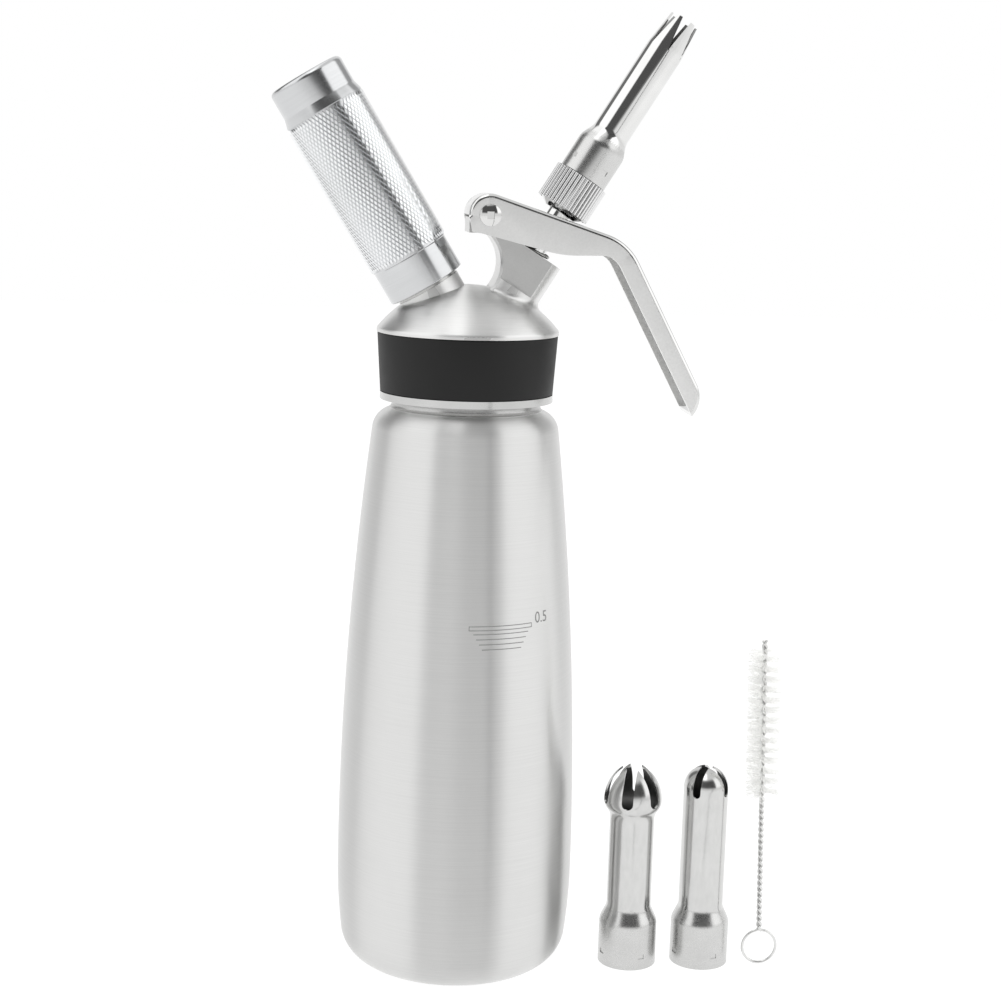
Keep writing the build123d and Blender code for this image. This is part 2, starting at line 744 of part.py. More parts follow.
def tip_adapter():
    """Knurled nut on the stem's outer end; its upper thread carries the tip."""
    thread_top = adapter_top + adapter_thread_h
    outside = turned(
        (0, adapter_bottom), (adapter_cone_r, adapter_bottom), (adapter_r, adapter_bottom + adapter_cone_h),
        (adapter_r, adapter_top), (adapter_thread_r, adapter_top),
        (adapter_thread_r, thread_top - thread_lead_in), (adapter_thread_r - thread_lead_in, thread_top),
        (0, thread_top),
    )
    socket = rod(stem_r + thread_clearance, adapter_bottom - overrun, stem_top + adapter_seal_h)
    bore = rod(adapter_bore_r, stem_top, thread_top + overrun)
    return outlet * (outside - socket - bore)


def adapter_seal():
    """Flat washer between the stem's end and the adapter."""
    return outlet * tube(stem_r, adapter_bore_r, stem_top, stem_top + adapter_seal_h)


def tip_seal():
    """Rubber ring round the foot of the adapter's upper thread."""
    mean_r = adapter_thread_r + tip_seal_gap + tip_seal_section / 2
    return outlet * ring(mean_r, tip_seal_section, adapter_top + tip_seal_section / 2)


def tip_side(base_r, low, shoulder, body_r, body, top, inset):
    """A tip's side line: base, swept shoulder and body, moved in by inset."""
    return FilletPolyline(
        (base_r - inset, 0, low),
        (base_r - inset, 0, shoulder),
        (body_r - inset, 0, body),
        (body_r - inset, 0, top),
        radius=[shoulder_round - inset, shoulder_round + inset],
    )


def through_slots(pairs, turn, width, low, high, reach):
    """Cuts right across a tip, round at the bottom."""
    floor_z = low + width / 2
    middle = Pos(0, 0, (floor_z + high) / 2) * Box(2 * reach, width, high - floor_z)
    heel = Pos(0, 0, floor_z) * Rot(0, 90, 0) * Cylinder(width / 2, 2 * reach)
    return [Rot(0, 0, turn + 180 / pairs * i) * (middle + heel) for i in range(pairs)]


def pointed_slots(pairs, width, low, high, reach):
    """V cuts right across a tip."""
    outline = Polyline((0, -width / 2, high), (0, width / 2, high), (0, 0, low), close=True)
    wedge = extrude(make_face(outline), reach, dir=(1, 0, 0), both=True)
    return [Rot(0, 0, 180 / pairs * (i + 0.5)) * wedge for i in range(pairs)]


def stakes(base_r, low, turn):
    """Shallow square dents round a tip's base that lock its insert in place."""
    dent = Pos(base_r, 0, low + stake_at) * Box(2 * stake_depth, stake_w, stake_h)
    return [Rot(0, 0, turn + 360 / stake_count * i) * dent for i in range(stake_count)]


def star_tip():
    """Fitted tip: a drawn steel tube with a wide base and six pointed teeth that lean in."""
    shoulder = tip_start + tip_base_h
    body = shoulder + tip_shoulder_h
    crown = body + tip_body_h
    top = crown + tip_crown_h

    def form(inset):
        """The tip as a full body, its side moved in by inset."""
        side = tip_side(tip_base_r, tip_start, shoulder, tip_body_r, body, crown, inset)
        ends = Polyline(side @ 1, (tip_crown_r - inset, 0, top), (0, 0, top), (0, 0, tip_start), side @ 0)
        return revolve(make_face([side, ends]), Axis.Z)

    shell = form(0) - form(tip_wall)
    slots = pointed_slots(tip_slot_pairs, tip_slot_w, top - tip_slot_depth, top, 2 * tip_body_r)
    for cut in slots + stakes(tip_base_r, tip_start, star_stake_turn):
        shell -= cut
    return outlet * shell


def threaded_insert(outer_r, start):
    """Threaded bush staked inside a tip's base."""
    outside = turned((0, start), (outer_r, start), (outer_r, start + insert_h), (0, start + insert_h))
    return outside - rod(insert_bore_r, start - overrun, start + insert_h + overrun)


def star_tip_insert():
    """Insert of the fitted tip."""
    return outlet * threaded_insert(tip_base_r - tip_wall, tip_start + insert_lip)


def spare_side(high, inset):
    """Side line of both spare tips, from the foot up to where they differ."""
    body = spare_base_h + spare_shoulder_h
    return tip_side(spare_base_r, 0, spare_base_h, spare_body_r, body, high, inset)


def spare_tip(form, pairs, turn, slot_w, slot_bottom_z):
    """Wall of a spare tip about its own axis, with its slots from above and its stakes."""
    shell = form(0) - form(tip_wall)
    high = tulip_widest_z + tulip_petal_arc_r
    slots = through_slots(pairs, turn, slot_w, slot_bottom_z, high, 2 * tulip_bud_r)
    for cut in slots + stakes(spare_base_r, 0, spare_stake_turn):
        shell -= cut
    return shell


def tulip_form(inset):
    """The tulip tip as a full body: a bud wider than the body, drawn in above."""
    swell = degrees(acos(1 - (tulip_bud_r - spare_body_r) / (2 * tulip_swell_r)))
    drop = 2 * tulip_swell_r * sin(radians(swell))
    hollow_centre = (spare_body_r + tulip_swell_r, tulip_widest_z - drop)
    hollow = arc(hollow_centre, tulip_swell_r + inset, 180, 180 - swell)
    full = arc((tulip_bud_r - tulip_swell_r, tulip_widest_z), tulip_swell_r - inset, -swell, 0)
    petal_r = tulip_petal_arc_r - inset
    close = degrees(acos((tulip_petal_arc_r - tulip_bud_r) / petal_r))
    petal = arc((tulip_bud_r - tulip_petal_arc_r, tulip_widest_z), petal_r, 0, close)
    side = spare_side(tulip_widest_z - drop, inset)
    middle = Polyline(petal @ 1, (0, 0, 0), side @ 0)
    return revolve(make_face([side, hollow, full, petal, middle]), Axis.Z)


def straight_form(inset):
    """The straight tip as a full body with a round end."""
    side = spare_side(straight_round_z, inset)
    end = arc((0, straight_round_z), spare_body_r - inset, 0, 90)
    return revolve(make_face([side, end, Polyline(end @ 1, (0, 0, 0), side @ 0)]), Axis.Z)


def tulip_tip():
    """Spare tip with a round bud, cut into six petals."""
    return tulip_place() * spare_tip(
        tulip_form, tulip_slot_pairs, tulip_slot_turn, tulip_slot_w, tulip_slot_bottom_z
    )


def straight_tip():
    """Spare tip with a plain round end, cut into four."""
    return straight_place() * spare_tip(
        straight_form, straight_slot_pairs, straight_slot_turn, straight_slot_w, straight_slot_bottom_z
    )


def tulip_place():
    """Where the tulip tip stands."""
    return Pos(bottle_max_r + tulip_stand_off, tulip_y, 0)


def straight_place():
    """Where the straight tip stands."""
    return Pos(straight_tip_x(), straight_y, 0)


def straight_tip_x():
    """Distance of the straight tip from the bottle's axis, along X."""
    return bottle_max_r + tulip_stand_off + straight_stand_off


def tulip_tip_insert():
    """Insert of the tulip tip."""
    return tulip_place() * threaded_insert(spare_base_r - tip_wall, insert_lip)


def straight_tip_insert():
    """Insert of the straight tip."""
    return straight_place() * threaded_insert(spare_base_r - tip_wall, insert_lip)


# ================= cleaning brush =================

def brush_place():
    """Where the brush stands, on its ring."""
    return Pos(straight_tip_x() + brush_stand_off, brush_y, 0) * Rot(0, -brush_lean, 0)


def brush_wire():
    """Doubled and twisted wire with a finger ring at its lower end."""
    eye = Pos(0, 0, brush_ring_r + brush_wire_r) * Rot(90, 0, 0) * Torus(brush_ring_r, brush_wire_r)
    stem = rod(brush_stem_r, brush_stem_bottom - brush_stem_r, brush_height)
    return brush_place() * (eye + stem)


def brush_bristles():
    """Bristles held in the twist, in even tufts."""
    pitch = (tuft_high_z - tuft_low_z - tuft_h) / (tuft_count - 1)
    bristles = tube(tuft_core_r, brush_stem_r, tuft_low_z, tuft_high_z)
    for i in range(tuft_count):
        low = tuft_low_z + pitch * i
        bristles += tube(tuft_r, brush_stem_r, low, low + tuft_h)
    return brush_place() * bristles


NODES = {
    "bottle": bottle,
    "head_gasket": head_gasket,
    "head_body": head_body,
    "grip_band": grip_band,
    "inlet_nipple": inlet_insert,
    "piercing_pin": piercing_pin,
    "inlet_seal": inlet_seal,
    "inlet_check_valve": inlet_check_valve,
    "charger": charger,
    "charger_holder": charger_holder,
    "lever": lever,
    "lever_pin": lever_pin,
    "lever_pin_cap": lever_pin_cap,
    "valve_stem": valve_stem,
    "valve_head": valve_head,
    "valve_seal": valve_seal,
    "stem_bush": stem_bush,
    "stem_ring": stem_ring,
    "valve_spring": valve_spring,
    "tip_adapter": tip_adapter,
    "adapter_seal": adapter_seal,
    "tip_seal": tip_seal,
    "star_tip": star_tip,
    "star_tip_insert": star_tip_insert,
    "tulip_tip": tulip_tip,
    "tulip_tip_insert": tulip_tip_insert,
    "straight_tip": straight_tip,
    "straight_tip_insert": straight_tip_insert,
    "brush_wire": brush_wire,
    "brush_bristles": brush_bristles,
}

os.makedirs("parts", exist_ok=True)
for name, make in NODES.items():
    export_step(make(), f"parts/{name}.step")
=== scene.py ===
import bmesh
import bpy
from math import acos, asin, atan2, cos, degrees, hypot, pi, radians, sin, sqrt
from mathutils import Matrix, Vector


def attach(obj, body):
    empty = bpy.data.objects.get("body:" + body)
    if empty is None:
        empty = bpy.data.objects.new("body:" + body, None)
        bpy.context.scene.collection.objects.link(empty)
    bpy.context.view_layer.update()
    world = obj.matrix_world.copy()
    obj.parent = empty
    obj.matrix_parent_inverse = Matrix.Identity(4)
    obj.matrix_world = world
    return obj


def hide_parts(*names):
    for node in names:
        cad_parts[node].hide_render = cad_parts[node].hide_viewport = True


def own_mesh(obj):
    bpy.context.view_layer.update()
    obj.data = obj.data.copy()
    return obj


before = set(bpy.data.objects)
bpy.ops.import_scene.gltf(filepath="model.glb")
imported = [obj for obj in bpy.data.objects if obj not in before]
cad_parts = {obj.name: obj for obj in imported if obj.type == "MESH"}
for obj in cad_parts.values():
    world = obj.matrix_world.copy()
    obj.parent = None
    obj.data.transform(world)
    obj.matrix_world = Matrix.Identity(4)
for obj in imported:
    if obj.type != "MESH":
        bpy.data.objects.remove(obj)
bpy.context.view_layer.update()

# ---- Camera ----
# A short telephoto a little left of the dispenser and about as high as its lever. It looks ten
# degrees down and is rolled by under two.
camera_side, camera_distance, camera_height = 0.01201, 0.6045, 0.25894
camera_yaw, camera_pitch, camera_roll = radians(6.5), radians(9.80), radians(1.7)
level_right = Vector((cos(camera_yaw), -sin(camera_yaw), 0))
level_ahead = Vector((sin(camera_yaw), cos(camera_yaw), 0))
ahead = level_ahead * cos(camera_pitch) - Vector((0, 0, sin(camera_pitch)))
upright = level_ahead * sin(camera_pitch) + Vector((0, 0, cos(camera_pitch)))
camera = bpy.data.objects.new("camera", bpy.data.cameras.new("camera"))
camera.data.sensor_width = 36
camera.data.lens = 67.97
camera.data.clip_start = 0.02
camera.matrix_world = Matrix.Translation(
    level_right * camera_side - level_ahead * camera_distance + Vector((0, 0, camera_height))
) @ Matrix((
    level_right * cos(camera_roll) + upright * sin(camera_roll),
    upright * cos(camera_roll) - level_right * sin(camera_roll),
    -ahead,
)).transposed().to_4x4()
bpy.context.scene.collection.objects.link(camera)
bpy.context.scene.camera = camera
bpy.context.scene.view_settings.view_transform = "Standard"


# ---- Studio ----
# A white tent: soft boxes to the left, right and above, a dark gap round the camera and a white table.
# The metal shows the tent; matt pieces are lit plainly by its even light and three soft lamps.
def srgb(code):
    """The linear colour of an sRGB hex value."""
    channels = [int(code[i:i + 2], 16) / 255 for i in (1, 3, 5)]
    return [c / 12.92 if c <= 0.04045 else ((c + 0.055) / 1.055) ** 2.4 for c in channels] + [1.0]


def add(tree, kind, inputs=None, stops=None, **settings):
    """One node with its settings, its ramp's stops, and its inputs as values or links."""
    node = tree.nodes.new(kind)
    for key, value in settings.items():
        setattr(node, key, value)
    if stops:
        elements = node.color_ramp.elements
        while len(elements) < len(stops):
            elements.new(1.0)
        for element, (place, grey) in zip(elements, stops):
            element.position = place
            element.color = (grey, grey, grey, 1)
    for key, value in (inputs or {}).items():
        if isinstance(value, bpy.types.NodeSocket):
            tree.links.new(value, node.inputs[key])
        else:
            node.inputs[key].default_value = value
    return node


def new_object(name, data):
    """An object with this data, linked into the scene."""
    made = bpy.data.objects.new(name, data)
    bpy.context.scene.collection.objects.link(made)
    return made


def new_material(name):
    """A material and its still empty tree."""
    made = bpy.data.materials.new(name)
    made.use_nodes = True
    made.node_tree.nodes.clear()
    return made, made.node_tree


around = [
    # degrees round from the front towards the right, and the tent's light there
    (-180, 0.95), (-157, 0.95), (-151, 0.2), (-117, 0.2), (-111, 1.4), (-48, 1.4), (-41, 0.1),
    (40, 0.1), (44, 1.5), (112, 1.5), (120, 0.45), (146, 0.45), (151, 0.95), (180, 0.95),
]
overhead = [
    # the same for the tent's roof
    (-180, 1.3), (-60, 1.3), (-40, 2.4), (-20, 2.4), (-6, 1.3), (4, 0.9), (176, 0.9), (180, 1.3),
]
# heights at which the table gives way to the walls, and the walls to the roof
wall_start, wall_full, roof_start, roof_full = radians(4), radians(15), radians(44), radians(60)
even_light = 0.8           # what a surface gets from the tent, apart from what it mirrors
world = bpy.data.worlds.new("tent")
bpy.context.scene.world = world
world.use_nodes = True
tree = world.node_tree
tree.nodes.clear()
direction = add(tree, "ShaderNodeSeparateXYZ", {0: add(tree, "ShaderNodeTexCoord").outputs["Generated"]})
front = add(tree, "ShaderNodeMath", {0: direction.outputs["Y"], 1: -1.0}, operation="MULTIPLY")
turn = add(tree, "ShaderNodeMath", {0: direction.outputs["X"], 1: front.outputs[0]}, operation="ARCTAN2")
share = add(tree, "ShaderNodeMapRange", {"Value": turn.outputs[0], "From Min": -pi, "From Max": pi})
walls = add(tree, "ShaderNodeValToRGB", {0: share.outputs[0]},
            stops=[((a + 180) / 360, v) for a, v in around])
roof = add(tree, "ShaderNodeValToRGB", {0: share.outputs[0]},
           stops=[((a + 180) / 360, v) for a, v in overhead])
above_table = add(tree, "ShaderNodeMapRange", {
    "Value": direction.outputs["Z"], "From Min": sin(wall_start), "From Max": sin(wall_full),
}, interpolation_type="SMOOTHSTEP")
above_walls = add(tree, "ShaderNodeMapRange", {
    "Value": direction.outputs["Z"], "From Min": sin(roof_start), "From Max": sin(roof_full),
}, interpolation_type="SMOOTHSTEP")
low = add(tree, "ShaderNodeMix", {
    "Factor": above_table.outputs[0], "A": srgb("#FAFAFA"), "B": walls.outputs[0],
}, data_type="RGBA")
tent = add(tree, "ShaderNodeMix", {
    "Factor": above_walls.outputs[0], "A": low.outputs["Result"], "B": roof.outputs[0],
}, data_type="RGBA")
ray = add(tree, "ShaderNodeLightPath")
lit = add(tree, "ShaderNodeMix", {
    "Factor": ray.outputs["Is Glossy Ray"],
    "A": (even_light, even_light, even_light, 1), "B": tent.outputs["Result"],
}, data_type="RGBA")
seen = add(tree, "ShaderNodeMix", {
    "Factor": ray.outputs["Is Camera Ray"], "A": lit.outputs["Result"], "B": srgb("#FFFFFF"),
}, data_type="RGBA")
backdrop = add(tree, "ShaderNodeBackground", {"Color": seen.outputs["Result"]})
add(tree, "ShaderNodeOutputWorld", {"Surface": backdrop.outputs[0]})

lamp_aim = Vector((0, 0, 0.15))
for name, place, size, power in (
    ("lamp_left", (-0.9, -0.7, 1.0), 0.8, 7.0),
    ("lamp_right", (1.0, -0.5, 0.8), 0.7, 5.0),
    ("lamp_top", (0.1, 0.3, 1.4), 0.9, 8.0),
):
    lamp = new_object(name, bpy.data.lights.new(name, "AREA"))
    lamp.data.size = size
    lamp.data.energy = power
    lamp.visible_glossy = False
    facing = (Vector(place) - lamp_aim).to_track_quat("Z", "Y")
    lamp.matrix_world = Matrix.Translation(place) @ facing.to_matrix().to_4x4()

table_size, table_drop = 3.0, 0.0001
table_glow, table_glow_share = 1.13, 0.8
table = new_object("table", bpy.data.meshes.new("table"))
table.data.from_pydata(
    [(x * table_size, y * table_size, -table_drop) for x, y in ((-1, -1), (1, -1), (1, 1), (-1, 1))],
    [], [(0, 1, 2, 3)],
)
material, tree = new_material("white_table_top")
# matt white laminate, which mirrors and the camera see mostly as an even glow without a horizon
matt = add(tree, "ShaderNodeBsdfDiffuse", {"Color": srgb("#F4F4F4")})
plain = add(tree, "ShaderNodeEmission", {"Color": srgb("#FFFFFF"), "Strength": table_glow})
ray = add(tree, "ShaderNodeLightPath")
shown = add(tree, "ShaderNodeMath", {
    0: ray.outputs["Is Camera Ray"], 1: ray.outputs["Is Glossy Ray"],
}, operation="MAXIMUM")
share = add(tree, "ShaderNodeMath", {0: shown.outputs[0], 1: table_glow_share}, operation="MULTIPLY")
mixed = add(tree, "ShaderNodeMixShader", {
    0: share.outputs[0], 1: matt.outputs[0], 2: plain.outputs[0],
})
add(tree, "ShaderNodeOutputMaterial", {"Surface": mixed.outputs[0]})
table.data.materials.append(material)

# The tent's front seam: a narrow dark strip over the table and up the cloth, which only the metal shows.
seam_turn, seam_near, seam_far = radians(25.5), 0.13, 0.8
seam_lift, seam_height, seam_spread = 0.001, 1.0, 0.032
seam = new_object("tent_seam", bpy.data.meshes.new("tent_seam"))
seam_points = []
for reach, height in ((seam_near, seam_lift), (seam_far, seam_lift), (seam_far, seam_height)):
    middle = Vector((sin(seam_turn) * reach, -cos(seam_turn) * reach, height))
    half = Vector((cos(seam_turn), sin(seam_turn), 0)) * seam_spread * reach / 2
    seam_points += [middle - half, middle + half]
seam.data.from_pydata(seam_points, [], [(0, 1, 3, 2), (2, 3, 5, 4)])
material, tree = new_material("black_cloth")
cloth = add(tree, "ShaderNodeBsdfPrincipled", {"Base Color": srgb("#101010")})
add(tree, "ShaderNodeOutputMaterial", {"Surface": cloth.outputs[0]})
seam.data.materials.append(material)
for kind in ("camera", "diffuse", "shadow", "transmission"):
    setattr(seam, f"visible_{kind}", False)


# ---- Bottle ----
# Half litre bottle, deep drawn from 18/10 stainless steel sheet. Its side is brushed round and round
# with a fine belt, which draws every reflection out into a soft upright band. Sizes are in millimetres.
bottle_max_r, widest_z, base_corner_r = 38.95, 33.0, 10.8
lower_arc_r, side_arc_r = 200.0, 1180.0
shoulder_z, shoulder_arc_r = 184.4, 7.1
neck_r, neck_root_r, neck_fillet_r, mouth_z = 23.8, 22.9, 2.5, 204.3
bottle_wall, foot_dish, foot_dish_r = 1.0, 1.6, 24.5
neck_step_z, neck_step_w, neck_step_h, neck_inside_z = 188.6, 0.2, 0.4, 186.4
neck_fillet_steps, inner_fillet_steps = 8, 2     # inside, the neck's thicker wall cuts the fillet short
mouth_rim_w, mouth_rim_h, mouth_chamfer_w, mouth_chamfer_h = 2.2, 4.0, 0.5, 0.6
# height above which the neck takes its spun finish and its painted shade
neck_finish_and_shade_z = 184.6
mm = 0.001


def arc(centre, radius, start, end, steps):
    """Points of an arc between two angles in degrees, up from straight out."""
    angles = [radians(start + (end - start) * i / steps) for i in range(steps + 1)]
    return [(centre[0] + radius * cos(a), centre[1] + radius * sin(a)) for a in angles]


def bottle_side(inset):
    """The drawn wall from the middle of the foot up to the neck, moved in by inset."""
    side_centre = (bottle_max_r - side_arc_r, widest_z)
    shoulder_rise = shoulder_z - shoulder_arc_r - widest_z
    shoulder_reach = sqrt((side_arc_r - shoulder_arc_r) ** 2 - shoulder_rise ** 2)
    shoulder_centre = (side_centre[0] + shoulder_reach, shoulder_z - shoulder_arc_r)
    lean = degrees(atan2(shoulder_rise, shoulder_reach))
    lower_centre = (bottle_max_r - lower_arc_r, widest_z)
    corner_drop = widest_z - base_corner_r
    corner_reach = sqrt((lower_arc_r - base_corner_r) ** 2 - corner_drop ** 2)
    corner_centre = (lower_centre[0] + corner_reach, base_corner_r)
    tuck = degrees(atan2(corner_drop, corner_reach))
    neck_reach = neck_r + neck_fillet_r - shoulder_centre[0]
    neck_rise = sqrt((shoulder_arc_r + neck_fillet_r) ** 2 - neck_reach ** 2)
    turn = degrees(atan2(neck_rise, neck_reach))
    dish_r = (foot_dish_r ** 2 + foot_dish ** 2) / (2 * foot_dish)
    dish_half = degrees(asin(foot_dish_r / dish_r))
    dish = arc((0, foot_dish - dish_r + inset), dish_r, 90, 90 - dish_half, 10)
    return (
        [(0, dish[0][1])] + dish[1:]
        + arc(corner_centre, base_corner_r - inset, -90, -tuck, 16)
        + arc(lower_centre, lower_arc_r - inset, -tuck, 0, 10)[1:]
        + arc(side_centre, side_arc_r - inset, 0, lean, 24)[1:]
        + arc(shoulder_centre, shoulder_arc_r - inset, lean, turn, 14)[1:]
        + arc((neck_r + neck_fillet_r, shoulder_centre[1] + neck_rise),
              neck_fillet_r + inset, turn + 180, 180, neck_fillet_steps)[1:]
    )


def lathe(name, outline, place=Matrix(), steps=192, sharp=30):
    """A turned piece from its (radius, height) outline in millimetres, closed, or open from axis to axis.
    Its UV map runs along the outline and round the axis, in metres and turns."""
    shape = bmesh.new()
    uv = shape.loops.layers.uv.new("turned")
    closed = outline[0][0] > 0
    points = outline + outline[:1] if closed else outline
    along = [0.0]
    for a, b in zip(points, points[1:]):
        along.append(along[-1] + hypot(b[0] - a[0], b[1] - a[1]) * mm)
    angles = [2 * pi * i / steps for i in range(steps)]
    rings = []
    for r, z in outline:
        if r < 1e-6:
            rings.append([shape.verts.new((0, 0, z * mm))] * steps)
        else:
            rings.append([shape.verts.new((r * mm * cos(a), r * mm * sin(a), z * mm)) for a in angles])
    if closed:
        rings.append(rings[0])
    for k in range(len(rings) - 1):
        for i in range(steps):
            j = (i + 1) % steps
            corners = [(rings[k][i], along[k], i), (rings[k][j], along[k], i + 1),
                       (rings[k + 1][j], along[k + 1], i + 1), (rings[k + 1][i], along[k + 1], i)]
            kept = [c for n, c in enumerate(corners) if c[0] is not corners[n - 1][0]]
            face = shape.faces.new([c[0] for c in kept])
            for loop, (_, u, v) in zip(face.loops, kept):
                loop[uv].uv = (u, v / steps)
    bmesh.ops.recalc_face_normals(shape, faces=shape.faces)
    mesh = bpy.data.meshes.new(name)
    shape.to_mesh(mesh)
    shape.free()
    mesh.transform(place)
    mesh.shade_smooth()
    mesh.set_sharp_from_angle(angle=radians(sharp))
    return new_object(name, mesh)


noise_low, noise_high = 0.6, 1.4       # two noises added up seldom leave this range
tone_low, tone_high = 0.94, 1.06
groove_depth, least_roughness = 0.00002, 0.02


def metal(name, colour, roughness, spread, grain, tilt=0.0, grooves=0.0, drawn=0.0, clouds=0.02):
    """A bare metal finish, whose roughness varies by spread. grain is the size in metres of its marks
    across and along the piece's axis, which tilts from upright, and clouds that of its smears; grooves is
    how deep the marks look, drawn how far they draw reflections out."""
    made, tree = new_material(name)
    place = add(tree, "ShaderNodeTexCoord").outputs["Object"]
    marks = add(tree, "ShaderNodeTexNoise", {
        "Vector": add(tree, "ShaderNodeMapping", {
            "Vector": place, "Rotation": (0, tilt, 0), "Scale": (grain[0], grain[0], grain[1]),
        }, vector_type="TEXTURE").outputs[0],
        "Scale": 1.0, "Detail": 3.0, "Roughness": 0.6,
    })
    smears = add(tree, "ShaderNodeTexNoise", {
        "Vector": place, "Scale": 1 / clouds, "Detail": 2.0, "Roughness": 0.5,
    })
    both = add(tree, "ShaderNodeMath", {0: marks.outputs[0], 1: smears.outputs[0]}, operation="ADD")
    rough = add(tree, "ShaderNodeMapRange", {
        "Value": both.outputs[0], "From Min": noise_low, "From Max": noise_high,
        "To Min": max(roughness - spread, least_roughness), "To Max": roughness + spread,
    })
    tone = add(tree, "ShaderNodeMapRange", {
        "Value": both.outputs[0], "From Min": noise_low, "From Max": noise_high,
        "To Min": tone_low, "To Max": tone_high,
    })
    tint = add(tree, "ShaderNodeVectorMath", {
        0: srgb(colour)[:3], "Scale": tone.outputs[0],
    }, operation="SCALE")
    shader = add(tree, "ShaderNodeBsdfPrincipled", {
        "Base Color": tint.outputs[0], "Metallic": 1.0, "Roughness": rough.outputs[0], "Anisotropic": drawn,
    })
    if grooves:
        relief = add(tree, "ShaderNodeBump", {
            "Height": marks.outputs[0], "Strength": grooves, "Distance": groove_depth,
        })
        tree.links.new(relief.outputs[0], shader.inputs["Normal"])
    if drawn:
        tangent = add(tree, "ShaderNodeTangent", direction_type="UV_MAP", uv_map="turned")
        tree.links.new(tangent.outputs[0], shader.inputs["Tangent"])
    add(tree, "ShaderNodeOutputMaterial", {"Surface": shader.outputs[0]})
    return made


bottle_outer = bottle_side(0) + [
    (neck_root_r + neck_step_w, neck_step_z), (neck_root_r, neck_step_z + neck_step_h),
    (neck_root_r, mouth_z - mouth_chamfer_h), (neck_root_r - mouth_chamfer_w, mouth_z),
]
bottle_inner = bottle_side(bottle_wall)[:inner_fillet_steps - neck_fillet_steps] + [
    (neck_root_r - bottle_wall, neck_inside_z), (neck_root_r - bottle_wall, mouth_z - mouth_rim_h),
    (neck_r - mouth_rim_w, mouth_z - mouth_rim_h), (neck_r - mouth_rim_w, mouth_z),
]
bottle = lathe("bottle_body", bottle_outer + bottle_inner[::-1], steps=256)
bottle.data.materials.append(metal(
    # belt brushed 18/10 steel: soft and greyish, lines 0.3 mm apart, drawn twice as coarse as they are
    "brushed_stainless_steel", "#E1E1E0", 0.41, 0.03, (0.025, 0.0003), grooves=0.12, drawn=1.0,
))
# the neck is only spun, not brushed, so its reflections are clearer; its greyer colour is painted shade
# under the head's skirt
painted_shade_neck_steel = metal("spun_neck_steel_painted_shade", "#BDBDBC", 0.26, 0.03, (0.01, 0.0003), grooves=0.08)
bottle.data.materials.append(painted_shade_neck_steel)
# faces above this height take the neck's finish, greyer as painted shade under the head's skirt
for face in bottle.data.polygons:
    if face.center.z > neck_finish_and_shade_z * mm:
        face.material_index = 1


def new_nodes(name, sizes, counts=()):
    """A Geometry Nodes tree with named inputs for its sizes, its counts and its material."""
    tree = bpy.data.node_groups.new(name, "GeometryNodeTree")
    for size in sizes:
        tree.interface.new_socket(size, in_out="INPUT", socket_type="NodeSocketFloat")
    for count in counts:
        tree.interface.new_socket(count, in_out="INPUT", socket_type="NodeSocketInt")
    tree.interface.new_socket("Material", in_out="INPUT", socket_type="NodeSocketMaterial")
    tree.interface.new_socket("Geometry", in_out="OUTPUT", socket_type="NodeSocketGeometry")
    return tree, tree.nodes.new("NodeGroupInput").outputs


def close_nodes(tree, geometry, given):
    """Ends a tree in Realize Instances and Set Material."""
    real = add(tree, "GeometryNodeRealizeInstances", {"Geometry": geometry})
    painted = add(tree, "GeometryNodeSetMaterial", {
        "Geometry": real.outputs[0], "Material": given["Material"],
    })
    add(tree, "NodeGroupOutput", {"Geometry": painted.outputs[0]})


def baked(piece):
    """The plain mesh that an object's modifiers, curve or text make."""
    bpy.context.view_layer.update()
    return bpy.data.meshes.new_from_object(piece.evaluated_get(bpy.context.evaluated_depsgraph_get()))


def grown(name, tree, values, place=Matrix()):
    """The plain mesh piece that a Geometry Nodes tree makes from these values."""
    piece = new_object(name, bpy.data.meshes.new(name))
    modifier = piece.modifiers.new(name, "NODES")
    modifier.node_group = tree
    for socket in tree.interface.items_tree:
        if socket.in_out == "INPUT":
            modifier[socket.identifier] = values[socket.name]
    made = baked(piece)
    piece.modifiers.remove(modifier)
    piece.data = made
    made.transform(place)
    return piece


thread_tree, given = new_nodes("rolled_thread", ("Radius", "Rise", "Turns", "Ridge Radius"), ("Steps",))
spiral = add(thread_tree, "GeometryNodeCurveSpiral", {
    "Resolution": given["Steps"], "Rotations": given["Turns"], "Start Radius": given["Radius"],
    "End Radius": given["Radius"], "Height": given["Rise"], "Reverse": True,
})
section = add(thread_tree, "GeometryNodeCurvePrimitiveCircle", {
    "Resolution": 10, "Radius": given["Ridge Radius"],
})
ridge = add(thread_tree, "GeometryNodeCurveToMesh", {
    "Curve": spiral.outputs[0], "Profile Curve": section.outputs[0], "Fill Caps": True,
})
close_nodes(thread_tree, ridge.outputs[0], given)
neck_ridge_r, neck_lead, neck_turns, neck_turn_steps, neck_thread_z = 0.88, 4.0, 2.9, 96, 190.4
# the thread takes the neck's finish, with its painted shade
neck_thread = grown("neck_thread", thread_tree, {
    "Radius": neck_root_r * mm, "Rise": neck_lead * neck_turns * mm, "Turns": neck_turns,
    "Ridge Radius": neck_ridge_r * mm, "Steps": neck_turn_steps, "Material": painted_shade_neck_steel,
}, Matrix.Translation((0, 0, neck_thread_z * mm)))
neck_thread.data.shade_smooth()
for piece in (bottle, neck_thread):
    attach(piece, "bottle")
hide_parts("bottle")


